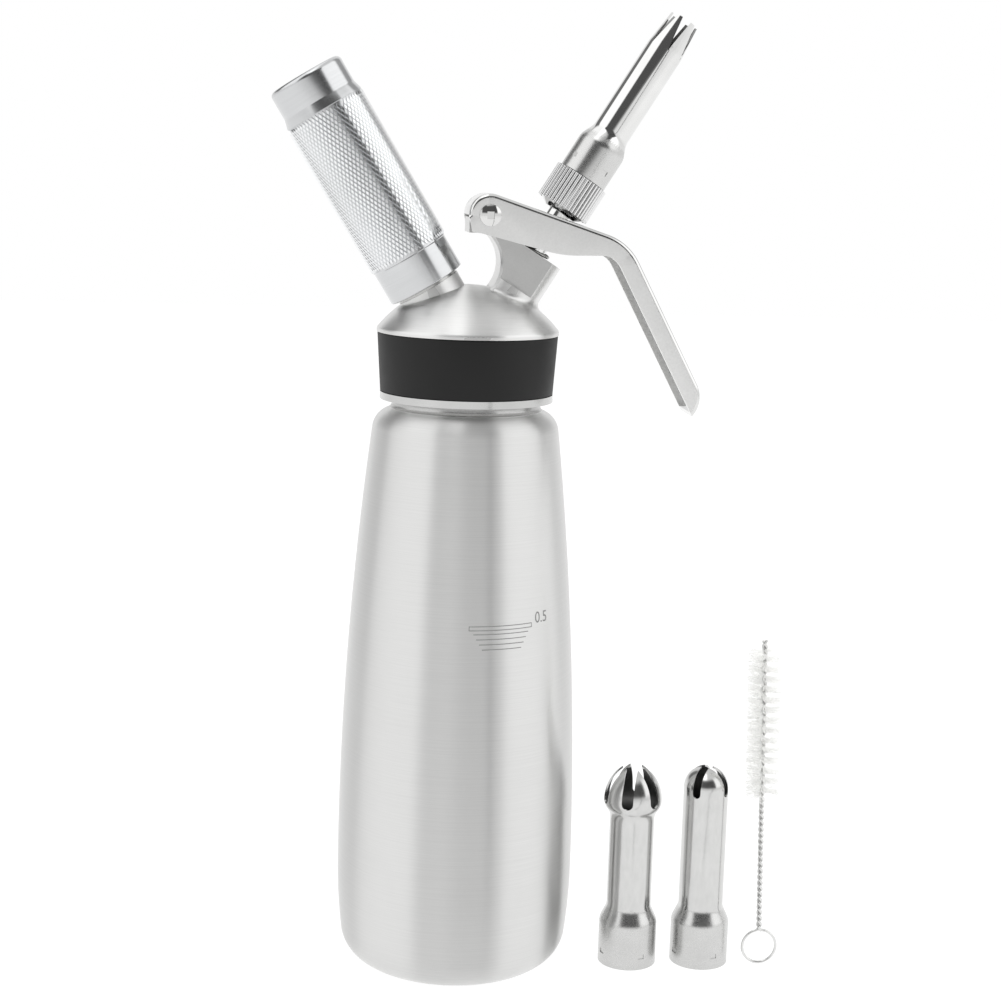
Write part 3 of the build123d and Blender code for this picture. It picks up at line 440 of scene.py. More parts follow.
# ---- Fill mark ----
# The line for the most cream, etched grey into the bottle's side: an outlined bar, four shorter lines
# under it and the plain number of litres. It runs round the side from a start to an end in degrees.
mark_z, mark_bar_h, mark_step, mark_line = 120.1, 1.5, 1.6, 0.26
mark_start, mark_end, mark_tuck = -1.1, 33.4, 1.45
mark_proud, mark_depth = 0.02, 0.03
line_count, line_lift, line_inset, strip_step = 4, 0.35, 0.9, 1.5
number_size, number_gap, number_drop = 5.0, 2.2, 0.4
soot_grain = 0.0004


def bottle_r_at(z):
    """The bottle's radius at a height above its widest place."""
    return bottle_max_r - side_arc_r + sqrt(side_arc_r ** 2 - (z - widest_z) ** 2)


def on_bottle(turn, z):
    """A point just proud of the bottle's side; the turn is in degrees round from the front."""
    r = (bottle_r_at(z) + mark_proud) * mm
    return (r * sin(radians(turn)), -r * cos(radians(turn)), z * mm)


def etched_strips(strips):
    """Flat strips on the bottle's side from (start turn, end turn, low, high)."""
    points, faces = [], []
    for start, end, low, high in strips:
        steps = max(1, round((end - start) / strip_step))
        first = len(points)
        for i in range(steps + 1):
            turn = start + (end - start) * i / steps
            points += [on_bottle(turn, low), on_bottle(turn, high)]
        faces += [(k, k + 2, k + 3, k + 1) for k in range(first, first + 2 * steps, 2)]
    return points, faces


bar_low, bar_high = mark_z - mark_bar_h / 2, mark_z + mark_bar_h / 2
end_width = degrees(mark_line / bottle_max_r)
strips = [
    (mark_start, mark_end, bar_low, bar_low + mark_line),
    (mark_start, mark_end, bar_high - mark_line, bar_high),
    (mark_start, mark_start + end_width, bar_low + mark_line, bar_high - mark_line),
    (mark_end - end_width, mark_end, bar_low + mark_line, bar_high - mark_line),
]
for i in range(1, line_count + 1):
    low = bar_low - mark_step * i + line_lift
    inset = mark_tuck * i + line_inset
    strips.append((mark_start + inset, mark_end - inset, low, low + mark_line))
points, faces = etched_strips(strips)
mark = new_object("fill_mark", bpy.data.meshes.new("fill_mark"))
mark.data.from_pydata(points, [], faces)

lettering = new_object("fill_number", bpy.data.curves.new("fill_number", "FONT"))
lettering.data.body = "0.5"
lettering.data.size = number_size
number_mesh = baked(lettering)
bpy.data.objects.remove(lettering)
for vertex in number_mesh.vertices:
    turn = mark_end + number_gap + degrees(vertex.co.x / bottle_max_r)
    vertex.co = on_bottle(turn, bar_high - number_drop + vertex.co.y)
number = new_object("fill_number", number_mesh)

material, tree = new_material("laser_etched_steel")
# steel burnt by a laser: grey and matt against the brushed side, and not quite even
soot = add(tree, "ShaderNodeTexNoise", {
    "Vector": add(tree, "ShaderNodeTexCoord").outputs["Object"], "Scale": 1 / soot_grain, "Detail": 2.0,
})
grey = add(tree, "ShaderNodeMix", {
    "Factor": soot.outputs[0], "A": srgb("#7C7C7B"), "B": srgb("#979796"),
}, data_type="RGBA")
shader = add(tree, "ShaderNodeBsdfPrincipled", {
    "Base Color": grey.outputs["Result"], "Metallic": 0.6, "Roughness": 0.6,
})
add(tree, "ShaderNodeOutputMaterial", {"Surface": shader.outputs[0]})
for piece in (mark, number):
    piece.data.materials.clear()
    piece.data.materials.append(material)
    wall = piece.modifiers.new("depth", "SOLIDIFY")
    wall.thickness = mark_depth * mm
    wall.offset = -1
    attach(piece, "bottle")


# ---- Head ----
# The screwed head: skirt, dome, both bosses and the lever's bracket are one piece of stainless steel.
# The dome is turned to a satin, the skirt's edge is polished, the bracket's flat sides stay as cast.
cross_z, axis_tilt = 201.7, radians(31.7)
head_band_z, rim_z, band_ledge = 189.7, 208.7, 0.2
weld_distance = 2e-6
flat_side = 0.99           # how squarely a flat side faces sideways, as a share of its normal
outlet_place = Matrix.Translation((0, 0, cross_z * mm)) @ Matrix.Rotation(axis_tilt, 4, "Y")
inlet_place = Matrix.Translation((0, 0, cross_z * mm)) @ Matrix.Rotation(-axis_tilt, 4, "Y")


def smooth_copy(name, node, sharp=30):
    """A solid's mesh, joined up and shaded smooth, with a UV map along and round the bottle's axis."""
    shape = bmesh.new()
    shape.from_mesh(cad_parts[node].data)
    bmesh.ops.remove_doubles(shape, verts=shape.verts, dist=weld_distance)
    bmesh.ops.recalc_face_normals(shape, faces=shape.faces)
    shape.verts.index_update()
    mesh = bpy.data.meshes.new(name)
    mesh.from_pydata(
        [v.co.copy() for v in shape.verts], [], [[v.index for v in f.verts] for f in shape.faces]
    )
    shape.free()
    uv = mesh.uv_layers.new(name="turned")
    for face in mesh.polygons:
        corners = [mesh.vertices[v].co for v in face.vertices]
        turns = [atan2(point.y, point.x) for point in corners]
        for loop, point, turn in zip(face.loop_indices, corners, turns):
            if max(turns) - min(turns) > pi and turn < 0:
                turn += 2 * pi
            uv.data[loop].uv = (point.z - hypot(point.x, point.y), turn / (2 * pi))
    mesh.shade_smooth()
    mesh.set_sharp_from_angle(angle=radians(sharp))
    return new_object(name, mesh)


head = smooth_copy("head_casting", "head_body")
# turned with a fine feed, marks 0.35 mm apart: reflections run out into soft fans
dome_satin = metal("satin_turned_steel", "#DFDFDE", 0.38, 0.04, (0.012, 0.00035), grooves=0.12, drawn=0.8)
# left as cast: an even satin grey without reflections
cast_satin = metal("as_cast_satin_steel", "#C4C4C3", 0.5, 0.04, (0.0006, 0.0006), clouds=0.006)
# buffed edge: brighter, with soft but whole reflections
edge_polish = metal("polished_edge_steel", "#C6C6C5", 0.2, 0.03, (0.01, 0.01), clouds=0.01)
for finish in (dome_satin, cast_satin, edge_polish):
    head.data.materials.append(finish)
for face in head.data.polygons:
    if abs(face.normal.y) > flat_side and face.center.z > rim_z * mm:
        face.material_index = 1
    elif face.center.z < (head_band_z + band_ledge) * mm:
        face.material_index = 2
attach(head, "head")
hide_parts("head_body")


# ---- Grip band ----
# Black silicone sleeve, moulded with a fine matt skin and stretched over the head's skirt. It widens
# towards the dome and leaves only the skirt's polished edge bare.
band_seat_r, band_bottom_r, band_top_r = 26.4, 27.7, 28.9
band_gap, band_edge_r = 0.02, 0.5
band_skin_grain, band_dust_size = 0.0003, 0.008


def rounded(corners, steps=5):
    """An outline whose (radius, height, rounding) corners are rounded off."""
    outline = []
    for i, (r, z, round_r) in enumerate(corners):
        here = Vector((r, z))
        if round_r <= 0:
            outline.append((r, z))
            continue
        before = (Vector(corners[i - 1][:2]) - here).normalized()
        after = (Vector(corners[(i + 1) % len(corners)][:2]) - here).normalized()
        half = acos(max(-1, min(1, before.dot(after)))) / 2
        reach = round_r / (sin(half) / cos(half))
        middle = here + (before + after).normalized() * (round_r / sin(half))
        start, end = here + before * reach - middle, here + after * reach - middle
        sweep = start.angle(end)
        side = 1 if start.x * end.y - start.y * end.x > 0 else -1
        for k in range(steps + 1):
            a = side * sweep * k / steps
            across, up = start.x * cos(a) - start.y * sin(a), start.x * sin(a) + start.y * cos(a)
            outline.append((middle.x + across, middle.y + up))
    return outline


band = lathe("silicone_band", rounded([
    (band_seat_r + band_gap, head_band_z + band_gap, 0),
    (band_bottom_r, head_band_z + band_gap, band_edge_r),
    (band_top_r, rim_z - band_gap, band_edge_r), (band_seat_r + band_gap, rim_z - band_gap, 0),
]))
material, tree = new_material("moulded_black_silicone")
place = add(tree, "ShaderNodeTexCoord").outputs["Object"]
# moulded silicone with a fine matt skin: deep black, with a dull sheen and no clear reflection
skin = add(tree, "ShaderNodeTexNoise", {"Vector": place, "Scale": 1 / band_skin_grain, "Detail": 3.0})
dust = add(tree, "ShaderNodeTexNoise", {"Vector": place, "Scale": 1 / band_dust_size, "Detail": 3.0})
black = add(tree, "ShaderNodeMix", {
    "Factor": dust.outputs[0], "A": srgb("#070707"), "B": srgb("#0D0D0D"),
}, data_type="RGBA")
matt = add(tree, "ShaderNodeMapRange", {"Value": dust.outputs[0], "To Min": 0.48, "To Max": 0.62})
relief = add(tree, "ShaderNodeBump", {"Height": skin.outputs[0], "Strength": 0.15, "Distance": 0.00005})
shader = add(tree, "ShaderNodeBsdfPrincipled", {
    "Base Color": black.outputs["Result"], "Roughness": matt.outputs[0], "IOR": 1.41,
    "Normal": relief.outputs[0],
})
add(tree, "ShaderNodeOutputMaterial", {"Surface": shader.outputs[0]})
band.data.materials.append(material)
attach(band, "head")
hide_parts("grip_band")


# ---- Charger holder ----
# Turned aluminium sleeve with a knurled grip, screwed on the inlet over the gas charger.
# The collar and the cap are fine turned and bright; the knurl is rolled in diamonds with small flats.
holder_mouth, knurl_low, knurl_high, chamfer_high, holder_end = 25.9, 37.2, 88.5, 91.7, 100.9
collar_r, knurl_r, cap_r, cap_edge_r = 12.7, 13.3, 12.4, 1.7
mouth_edge_r, collar_edge_r, shoulder_edge_r, chamfer_edge_r = 0.2, 0.35, 0.15, 0.25
holder_bore_r, pocket_r, holder_thread_top, pocket_end = 10.35, 9.5, 38.4, 95.5
knurl_depth, knurl_columns, knurl_rows, knurl_flat = 0.36, 64, 40, 0.7
collar_gap, root_gap, shoulder_gap = 0.5, 0.2, 0.1     # from the knurl's ends to what is turned beside it
knurl_sink = 0.02          # the flat feet of the diamonds stand this deep in the round sleeve
knurl_root_r = knurl_r - knurl_depth
pocket = arc((0, pocket_end - pocket_r), pocket_r, 90, 0, 12)
holder = lathe("holder_body", rounded([(r, z, 0) for r, z in [(0, pocket_end)] + pocket[1:]] + [
    (pocket_r, holder_thread_top, 0), (holder_bore_r, holder_thread_top, 0),
    (holder_bore_r, holder_mouth, mouth_edge_r), (collar_r, holder_mouth, collar_edge_r),
    (collar_r, knurl_low - collar_gap, 0), (knurl_root_r, knurl_low - root_gap, 0),
    (knurl_root_r, knurl_high, 0), (knurl_r, knurl_high + shoulder_gap, shoulder_edge_r),
    (cap_r, chamfer_high, chamfer_edge_r), (cap_r, holder_end, cap_edge_r), (0, holder_end, 0),
], steps=8), inlet_place)

tree, given = new_nodes("rolled_knurl", (
    "Root Radius", "Row Rise", "Row Turn", "Half Width", "Half Height", "Depth", "Flat",
), ("Columns", "Rows"))
ring = add(tree, "GeometryNodeMeshCircle", {"Vertices": given["Columns"], "Radius": given["Root Radius"]})
row_step = add(tree, "ShaderNodeCombineXYZ", {"Z": given["Row Rise"]})
rows = add(tree, "GeometryNodeMeshLine", {"Count": given["Rows"], "Offset": row_step.outputs[0]})
stagger = add(tree, "ShaderNodeVectorMath", {
    0: add(tree, "ShaderNodeCombineXYZ", {"Z": given["Row Turn"]}).outputs[0],
    "Scale": add(tree, "GeometryNodeInputIndex").outputs[0],
}, operation="SCALE")
rings = add(tree, "GeometryNodeInstanceOnPoints", {
    "Points": rows.outputs[0], "Instance": ring.outputs[0], "Rotation": stagger.outputs[0],
})
spots = add(tree, "GeometryNodeRealizeInstances", {"Geometry": rings.outputs[0]})
outward = add(tree, "ShaderNodeVectorMath", {
    0: add(tree, "GeometryNodeInputPosition").outputs[0], 1: (1, 1, 0),
}, operation="MULTIPLY")
facing = add(tree, "FunctionNodeAxesToRotation", {
    "Primary Axis": outward.outputs[0], "Secondary Axis": (0, 0, 1),
}, primary_axis="Z", secondary_axis="Y")
diamond = add(tree, "GeometryNodeMeshCone", {
    "Vertices": 4, "Radius Top": given["Flat"], "Radius Bottom": 1.0, "Depth": 1.0,
})
copies = add(tree, "GeometryNodeInstanceOnPoints", {
    "Points": spots.outputs[0], "Instance": diamond.outputs[0], "Rotation": facing.outputs[0],
    "Scale": add(tree, "ShaderNodeCombineXYZ", {
        "X": given["Half Width"], "Y": given["Half Height"], "Z": given["Depth"],
    }).outputs[0],
})
close_nodes(tree, copies.outputs[0], given)

turned_aluminium = metal(
    # fine turned aluminium: bright, with marks of the tool 0.25 mm apart round the piece
    "fine_turned_aluminium", "#C9CACB", 0.2, 0.03, (0.02, 0.00025),
    tilt=-axis_tilt, grooves=0.05, drawn=0.7,
)
knurled_aluminium = metal(
    # aluminium pressed smooth by the knurling wheels: every small face glints
    "rolled_aluminium_knurl", "#E2E3E4", 0.14, 0.03, (0.0006, 0.0006), tilt=-axis_tilt,
)
holder.data.materials.append(turned_aluminium)
row_rise = (knurl_high - knurl_low) / knurl_rows
knurl = grown("holder_knurl", tree, {
    "Root Radius": (knurl_root_r - knurl_sink) * mm, "Depth": (knurl_depth + knurl_sink) * mm,
    "Row Rise": row_rise * mm, "Row Turn": pi / knurl_columns, "Flat": knurl_flat,
    "Half Width": pi * knurl_root_r / knurl_columns * mm, "Half Height": row_rise * mm,
    "Columns": knurl_columns, "Rows": knurl_rows - 1, "Material": knurled_aluminium,
}, inlet_place @ Matrix.Translation((0, 0, (knurl_low + row_rise) * mm)))
for piece in (holder, knurl):
    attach(piece, "holder")
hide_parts("charger_holder")


# ---- Lever ----
# Pressed from 1.5 mm stainless sheet: a channel over the bracket, bent down into the handle.
# Its top and handle are mirror polished; both sides of the cheeks are satin.
cheek_out_y, cheek_slack, nearly_flat_side = 9.8, 0.05, 0.9
lever = smooth_copy("lever_pressing", "lever", sharp=25)
# buffed to a mirror: bright and black by turns, with crisp reflections
polished_lever = metal("mirror_polished_steel", "#D6D6D5", 0.07, 0.02, (0.01, 0.01), clouds=0.03)
# satin sheet: an even light grey
satin_sheet = metal("satin_steel_sheet", "#E2E2E1", 0.34, 0.03, (0.0008, 0.0008), clouds=0.01)
for finish in (polished_lever, satin_sheet):
    lever.data.materials.append(finish)
for face in lever.data.polygons:
    at_cheek = abs(abs(face.center.y) - cheek_out_y * mm) < cheek_slack * mm
    outer_cheek = at_cheek and abs(face.normal.y) > flat_side
    inner_side = face.center.y * face.normal.y < 0 and abs(face.normal.y) > nearly_flat_side
    if outer_cheek or inner_side:
        face.material_index = 1
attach(lever, "lever")
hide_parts("lever")


# ---- Lever pin ----
# Steel pin that the lever turns on, through both cheeks and the bracket. Its turned head in front has
# a small square recess, and a cap closes its far end.
pivot_across, pivot_along, recess_reach = 18.9, 40.6, 1.8
# how far a side wall may face along the pin, as a share of its normal
recess_wall, head_wall = 0.1, 0.3
pivot = outlet_place @ Vector((-pivot_across * mm, 0, pivot_along * mm))
# painted shade: the recess walls and the rims of the heads are coloured dark, a thin dark outline round the
# recess and the heads
pin_shadow = metal("painted_shade_recess_steel", "#5A5A59", 0.35, 0.04, (0.0004, 0.0004), clouds=0.002)
for node in ("lever_pin", "lever_pin_cap"):
    pin = smooth_copy(node + "_turned", node, sharp=35)
    pin.data.materials.append(polished_lever)
    pin.data.materials.append(pin_shadow)
    for face in pin.data.polygons:
        reach = face.center - pivot
        in_recess = face.center.y < 0 and hypot(reach.x, reach.z) < recess_reach * mm
        wall_limit = recess_wall if in_recess else head_wall
        # the recess walls and the head rims take the painted shade
        if abs(face.center.y) > cheek_out_y * mm and abs(face.normal.y) < wall_limit:
            face.material_index = 1
    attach(pin, "lever")
    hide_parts(node)


# ---- Tip adapter ----
# Chromed nut on the valve stem. Straight flutes are rolled round it for the fingers, and its upper
# thread carries the tip.
adapter_r, adapter_bottom, adapter_top, adapter_cone_r, adapter_cone_h = 9.0, 53.6, 66.7, 5.2, 1.9
adapter_root_r, adapter_thread_top, adapter_thread_chamfer, adapter_bore_r = 5.82, 74.1, 0.5, 2.6
adapter_socket_r, adapter_socket_top = 3.65, 62.0
adapter_edge_r, cone_edge_r = 0.3, 0.2
flute_count, flute_r, flute_core_depth, flute_over_cone, flute_end_gap = 42, 0.5, 0.85, 0.3, 0.05
flute_core_r = adapter_r - flute_core_depth
adapter = lathe("adapter_body", rounded([
    (adapter_socket_r, adapter_bottom, 0), (adapter_cone_r, adapter_bottom, adapter_edge_r),
    (flute_core_r, adapter_bottom + adapter_cone_h, cone_edge_r),
    (flute_core_r, adapter_top, adapter_edge_r),
    (adapter_root_r, adapter_top, 0), (adapter_root_r, adapter_thread_top - adapter_thread_chamfer, 0),
    (adapter_root_r - adapter_thread_chamfer, adapter_thread_top, 0),
    (adapter_bore_r, adapter_thread_top, 0),
    (adapter_bore_r, adapter_socket_top, 0), (adapter_socket_r, adapter_socket_top, 0),
]), outlet_place, steps=180)

tree, given = new_nodes("rolled_flutes", ("Ring Radius", "Flute Radius", "Length"), ("Count",))
ring = add(tree, "GeometryNodeMeshCircle", {"Vertices": given["Count"], "Radius": given["Ring Radius"]})
flute = add(tree, "GeometryNodeMeshCylinder", {
    "Vertices": 16, "Side Segments": 1, "Radius": given["Flute Radius"], "Depth": given["Length"],
})
copies = add(tree, "GeometryNodeInstanceOnPoints", {
    "Points": ring.outputs[0], "Instance": flute.outputs[0],
})
close_nodes(tree, copies.outputs[0], given)
# bright chrome: nearly a mirror, so each flute carries its own light and dark line
chromed_brass = metal("chromed_brass", "#DEDEDE", 0.1, 0.02, (0.004, 0.004), clouds=0.01)
flute_low, flute_high = adapter_bottom + adapter_cone_h - flute_over_cone, adapter_top - flute_end_gap
flutes = grown("adapter_flutes", tree, {
    "Ring Radius": (adapter_r - flute_r) * mm, "Flute Radius": flute_r * mm,
    "Length": (flute_high - flute_low) * mm, "Count": flute_count, "Material": chromed_brass,
}, outlet_place @ Matrix.Translation((0, 0, (flute_low + flute_high) / 2 * mm)))
flutes.data.shade_smooth()
flutes.data.set_sharp_from_angle(angle=radians(50))
adapter.data.materials.append(chromed_brass)
tip_ridge_r, tip_lead, tip_turns, tip_turn_steps, tip_thread_gap = 0.36, 1.25, 4.6, 48, 0.3
tip_thread = grown("adapter_thread", thread_tree, {
    "Radius": adapter_root_r * mm, "Rise": tip_lead * tip_turns * mm, "Turns": tip_turns,
    "Ridge Radius": tip_ridge_r * mm, "Steps": tip_turn_steps, "Material": chromed_brass,
}, outlet_place @ Matrix.Translation((0, 0, (adapter_top + tip_ridge_r + tip_thread_gap) * mm)))
tip_thread.data.shade_smooth()
for piece in (adapter, flutes, tip_thread):
    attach(piece, "adapter")
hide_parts("tip_adapter")


# ---- Tips ----
# Deep drawn stainless tubes with tumbled bases: a polished star tip on the adapter, and a tulip and a
# straight tip, bright as drawn, that stand beside the bottle. A threaded bush is staked in each base.
star_base_top, spare_base_top = 80.5, 19.0
inward_share = 0.7         # how squarely the bore faces the axis, as a share of its normal
polished_tip = metal("mirror_polished_tip_steel", "#DCDCDB", 0.08, 0.02, (0.008, 0.008), clouds=0.012)
# as drawn: bright, with reflections a little blurred
drawn_tip = metal("bright_drawn_tip_steel", "#CCCCCB", 0.18, 0.03, (0.0015, 0.004), clouds=0.008)
# tumbled bases: greyer and softer
tumbled_tip = metal("tumbled_tip_steel", "#CACAC9", 0.27, 0.04, (0.0008, 0.0008), clouds=0.006)
turned_insert = metal("turned_insert_steel", "#B9B9B8", 0.2, 0.03, (0.01, 0.0003))
# the bores are dull, and their darker grey is painted shade inside the tubes, so the slots look dark
dull_bore_painted_shade = metal("dull_drawn_bore_painted_shade", "#7A7A79", 0.5, 0.05, (0.001, 0.004), clouds=0.008)
for node, body, place in (
    ("star_tip", "tip", outlet_place), ("tulip_tip", "tulip", None), ("straight_tip", "straight", None),
):
    tip = smooth_copy(node + "_drawn", node, sharp=28)
    if place is None:
        xs, ys = [v.co.x for v in tip.data.vertices], [v.co.y for v in tip.data.vertices]
        place = Matrix.Translation(((min(xs) + max(xs)) / 2, (min(ys) + max(ys)) / 2, 0))
    for finish in (polished_tip if node == "star_tip" else drawn_tip, tumbled_tip, dull_bore_painted_shade):
        tip.data.materials.append(finish)
    base_top = star_base_top if node == "star_tip" else spare_base_top
    back = place.inverted()
    for face in tip.data.polygons:
        centre, normal = back @ face.center, back.to_3x3() @ face.normal
        # faces that look in towards the axis are the bores, which take the painted shade
        if centre.x * normal.x + centre.y * normal.y < -inward_share * hypot(centre.x, centre.y):
            face.material_index = 2
        elif centre.z < base_top * mm:
            face.material_index = 1
    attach(tip, body)
    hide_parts(node)
    insert = smooth_copy(node + "_thread", node + "_insert", sharp=28)
    insert.data.materials.append(turned_insert)
    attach(insert, body)
    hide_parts(node + "_insert")


# ---- Cleaning brush ----
# Two steel wires twisted together round white nylon bristles and bent into a finger ring.
# The twist winds the bristles into a steep spiral, which shows as a row of tufts on either side.
brush_x, brush_y, brush_lean = 102.15, -15.8, radians(-1.9)
ring_r, wire_r, stem_low, stem_high = 5.7, 0.45, 11.6, 111.6
strand_r, strand_offset, strand_pitch, strand_turn_steps = 0.48, 0.5, 4.16, 14
eye_steps, eye_opening, eye_tail_x, eye_tail_h = 40, 18, 0.3, 0.6
bristle_low, bristle_high, bristle_reach, tuft_pitch = 58.6, 108.7, 6.2, 3.45
bristle_count, bristle_seed, bristle_r, bristle_core_r = 2600, 3, 0.07, 0.6
bristle_ruffle, ruffle_size, bristle_points = 1.4, 0.002, 5
bristle_stray, shortest, longest = (0.22, 0.1, 0.42), 0.86, 0.97
milky_size = 0.0015
brush_place = Matrix.Translation((brush_x * mm, brush_y * mm, 0)) @ Matrix.Rotation(brush_lean, 4, "Y")

tree, given = new_nodes("twisted_pair", ("Height", "Strand Radius", "Offset", "Turns"), ("Steps",))
strand = add(tree, "GeometryNodeCurveSpiral", {
    "Resolution": given["Steps"], "Rotations": given["Turns"], "Start Radius": given["Offset"],
    "End Radius": given["Offset"], "Height": given["Height"],
})
section = add(tree, "GeometryNodeCurvePrimitiveCircle", {
    "Resolution": 8, "Radius": given["Strand Radius"],
})
wire = add(tree, "GeometryNodeCurveToMesh", {
    "Curve": strand.outputs[0], "Profile Curve": section.outputs[0], "Fill Caps": True,
})
other = add(tree, "GeometryNodeTransform", {"Geometry": wire.outputs[0], "Rotation": (0, 0, pi)})
pair = add(tree, "GeometryNodeJoinGeometry")
tree.links.new(wire.outputs[0], pair.inputs[0])
tree.links.new(other.outputs[0], pair.inputs[0])
close_nodes(tree, pair.outputs[0], given)
# drawn wire: bright, with a light line along every strand
drawn_wire = metal("drawn_steel_wire", "#DADAD9", 0.18, 0.04, (0.0004, 0.004), clouds=0.004)
stem = grown("brush_twist", tree, {
    "Height": (stem_high - stem_low) * mm, "Strand Radius": strand_r * mm, "Offset": strand_offset * mm,
    "Turns": (stem_high - stem_low) / strand_pitch, "Steps": strand_turn_steps, "Material": drawn_wire,
}, brush_place @ Matrix.Translation((0, 0, stem_low * mm)))

eye_points = []
for i in range(eye_steps + 1):
    a = radians(90 + eye_opening / 2 + (360 - eye_opening) * i / eye_steps)
    eye_points.append((ring_r * cos(a), 0, wire_r + ring_r + ring_r * sin(a)))
tail_z = stem_low + eye_tail_h
eye_points = [(-eye_tail_x, 0, tail_z)] + eye_points + [(eye_tail_x, 0, tail_z)]
eye_curve = bpy.data.curves.new("brush_eye", "CURVE")
eye_curve.dimensions = "3D"
eye_curve.bevel_depth = wire_r * mm
eye_curve.bevel_resolution = 3
eye_curve.use_fill_caps = True
spline = eye_curve.splines.new("POLY")
spline.points.add(len(eye_points) - 1)
for point, place in zip(spline.points, eye_points):
    point.co = (place[0] * mm, place[1] * mm, place[2] * mm, 1)
bent_wire = new_object("brush_eye", eye_curve)
eye_mesh = baked(bent_wire)
bpy.data.objects.remove(bent_wire)
eye_mesh.transform(brush_place)
eye = new_object("brush_eye", eye_mesh)
eye.data.materials.clear()
eye.data.materials.append(drawn_wire)
for piece in (stem, eye):
    piece.data.shade_smooth()
    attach(piece, "brush")
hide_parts("brush_wire")

tree, given = new_nodes("spiral_bristles", (
    "Bristle Rise", "Bristle Turn", "Reach", "Core", "Bristle Radius", "Ruffle",
), ("Count", "Seed"))
stray = add(tree, "FunctionNodeRandomValue", {
    "Min": [-turn for turn in bristle_stray], "Max": bristle_stray, "Seed": given["Seed"],
}, data_type="FLOAT_VECTOR")
bristle_step = add(tree, "ShaderNodeCombineXYZ", {"Z": given["Bristle Rise"]})
spots = add(tree, "GeometryNodeMeshLine", {"Count": given["Count"], "Offset": bristle_step.outputs[0]})
wound = add(tree, "ShaderNodeVectorMath", {
    0: add(tree, "ShaderNodeCombineXYZ", {"Z": given["Bristle Turn"]}).outputs[0],
    "Scale": add(tree, "GeometryNodeInputIndex").outputs[0],
}, operation="SCALE")
line = add(tree, "GeometryNodeCurvePrimitiveLine", {
    "Start": add(tree, "ShaderNodeCombineXYZ", {"Y": given["Core"]}).outputs[0],
    "End": add(tree, "ShaderNodeCombineXYZ", {"Y": given["Reach"]}).outputs[0],
})
hair = add(tree, "GeometryNodeResampleCurve", {"Curve": line.outputs[0], "Count": bristle_points})
aim = add(tree, "ShaderNodeVectorMath", {0: stray.outputs[0], 1: wound.outputs[0]}, operation="ADD")
length = add(tree, "FunctionNodeRandomValue", {
    2: shortest, 3: longest, "Seed": given["Seed"],
}, data_type="FLOAT")
copies = add(tree, "GeometryNodeInstanceOnPoints", {
    "Points": spots.outputs[0], "Instance": hair.outputs[0], "Rotation": aim.outputs[0],
    "Scale": length.outputs[1],
})
loose = add(tree, "GeometryNodeRealizeInstances", {"Geometry": copies.outputs[0]})
spot = add(tree, "GeometryNodeInputPosition").outputs[0]
ruffle = add(tree, "ShaderNodeTexNoise", {"Vector": spot, "Scale": 1 / ruffle_size, "Detail": 1.0})
out = add(tree, "ShaderNodeVectorMath", {
    0: add(tree, "ShaderNodeVectorMath", {0: spot, 1: (1, 1, 0)}, operation="MULTIPLY").outputs[0],
}, operation="LENGTH").outputs["Value"]
bend = add(tree, "ShaderNodeVectorMath", {
    0: add(tree, "ShaderNodeVectorMath", {
        0: ruffle.outputs["Color"], 1: (0.5, 0.5, 0.5),
    }, operation="SUBTRACT").outputs[0],
    "Scale": add(tree, "ShaderNodeMapRange", {
        "Value": out, "From Max": given["Reach"], "To Max": given["Ruffle"],
    }).outputs[0],
}, operation="SCALE")
ruffled = add(tree, "GeometryNodeSetPosition", {"Geometry": loose.outputs[0], "Offset": bend.outputs[0]})
section = add(tree, "GeometryNodeCurvePrimitiveCircle", {
    "Resolution": 3, "Radius": given["Bristle Radius"],
})
bristle = add(tree, "GeometryNodeCurveToMesh", {
    "Curve": ruffled.outputs[0], "Profile Curve": section.outputs[0], "Fill Caps": True,
})
close_nodes(tree, bristle.outputs[0], given)

material, nylon_tree = new_material("white_nylon_bristle")
# extruded nylon: milky white, with light coming through it
shade = add(nylon_tree, "ShaderNodeTexNoise", {
    "Vector": add(nylon_tree, "ShaderNodeTexCoord").outputs["Object"],
    "Scale": 1 / milky_size, "Detail": 2.0,
})
white = add(nylon_tree, "ShaderNodeMix", {
    "Factor": shade.outputs[0], "A": srgb("#F2F2F0"), "B": srgb("#FFFFFF"),
}, data_type="RGBA")
gloss = add(nylon_tree, "ShaderNodeBsdfPrincipled", {
    # the faint glow stands in for the light that the bristles hand on from one to the next
    "Base Color": white.outputs["Result"], "Roughness": 0.35, "IOR": 1.53,
    "Emission Color": white.outputs["Result"], "Emission Strength": 0.22,
})
through = add(nylon_tree, "ShaderNodeBsdfTranslucent", {"Color": white.outputs["Result"]})
shader = add(nylon_tree, "ShaderNodeMixShader", {0: 0.5, 1: gloss.outputs[0], 2: through.outputs[0]})
add(nylon_tree, "ShaderNodeOutputMaterial", {"Surface": shader.outputs[0]})
bristle_rise = (bristle_high - bristle_low) / bristle_count
bristles = grown("brush_bristle_spiral", tree, {
    # each bristle stands opposite to the one before, less the share of half a turn that it has climbed
    "Bristle Rise": bristle_rise * mm, "Bristle Turn": pi * (1 - bristle_rise / tuft_pitch),
    "Reach": bristle_reach * mm, "Core": bristle_core_r * mm, "Bristle Radius": bristle_r * mm,
    "Ruffle": bristle_ruffle * mm, "Count": bristle_count, "Seed": bristle_seed, "Material": material,
}, brush_place @ Matrix.Translation((0, 0, bristle_low * mm)))
bristles.data.shade_smooth()
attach(bristles, "brush")
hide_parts("brush_bristles")


# ---- Valve stem ----
# Hollow steel stem, turned and polished. The lever presses it in by its collar, and cross-drilled
# ports above the valve let the cream in.
stem = smooth_copy("valve_stem_turned", "valve_stem", sharp=35)
stem.data.materials.append(polished_tip)
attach(stem, "valve")
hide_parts("valve_stem")


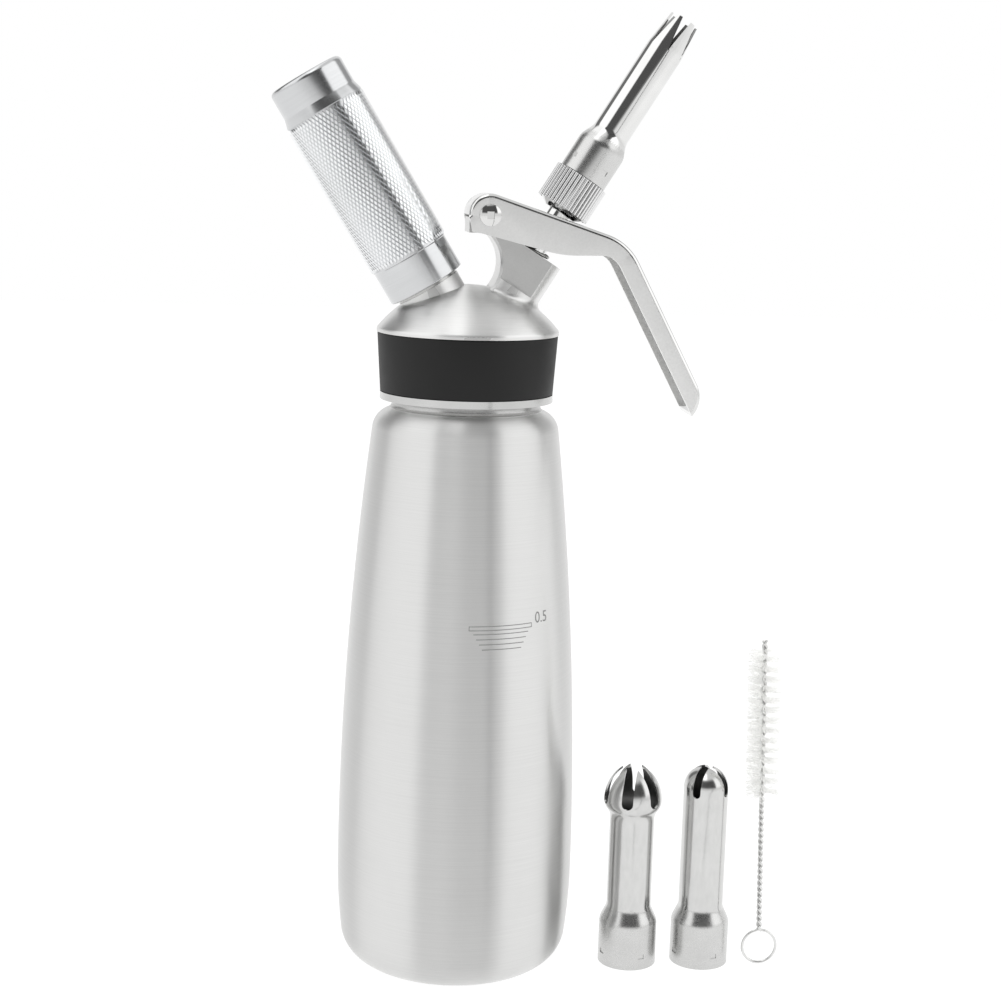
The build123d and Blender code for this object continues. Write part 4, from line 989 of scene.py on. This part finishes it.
# ---- Inside pieces ----
# Nipple, piercing pin, charger, bush, valve head, seals and gasket, all hidden inside the others.
# They keep their solids and take the finish of the real piece:
# machined steel, zinc plated steel with its bluish cast, and yellow turned brass
inner_steel = metal("machined_inner_steel", "#B4B4B2", 0.28, 0.04, (0.01, 0.0003))
zinc_steel = metal("zinc_plated_charger_steel", "#C2C4C6", 0.22, 0.05, (0.006, 0.006), clouds=0.006)
bush_brass = metal("turned_brass", "#C9A14A", 0.25, 0.04, (0.01, 0.0003))


powder_size = 0.002


def rubber(name, dark, light):
    """Moulded rubber: matt and even, with a trace of powder."""
    made, tree = new_material(name)
    powder = add(tree, "ShaderNodeTexNoise", {
        "Vector": add(tree, "ShaderNodeTexCoord").outputs["Object"], "Scale": 1 / powder_size, "Detail": 3.0,
    })
    tone = add(tree, "ShaderNodeMix", {
        "Factor": powder.outputs[0], "A": srgb(dark), "B": srgb(light),
    }, data_type="RGBA")
    shader = add(tree, "ShaderNodeBsdfPrincipled", {
        "Base Color": tone.outputs["Result"], "Roughness": 0.6, "IOR": 1.45,
    })
    add(tree, "ShaderNodeOutputMaterial", {"Surface": shader.outputs[0]})
    return made


black_rubber = rubber("black_seal_rubber", "#1A1A1A", "#242424")
grey_silicone = rubber("grey_gasket_silicone", "#8C8C8A", "#9A9A98")
for finish, nodes in (
    (inner_steel, ("inlet_nipple", "piercing_pin", "valve_head")),
    (zinc_steel, ("charger",)),
    (bush_brass, ("stem_bush",)),
    (black_rubber, (
        "inlet_seal", "inlet_check_valve", "valve_seal", "stem_ring", "adapter_seal", "tip_seal",
    )),
    (grey_silicone, ("head_gasket",)),
):
    for node in nodes:
        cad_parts[node].data.materials.clear()
        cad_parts[node].data.materials.append(finish)


# ---- Valve spring ----
# Coiled from 1 mm spring steel wire. It stands on the guide bush under the stem's collar, which in the real
# dispenser squeezes it by the valve's full stroke;
# here it rides on the head and keeps its shape.
spring = smooth_copy("valve_spring_coil", "valve_spring")
spring.data.materials.append(inner_steel)
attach(spring, "head")
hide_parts("valve_spring")
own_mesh(spring)
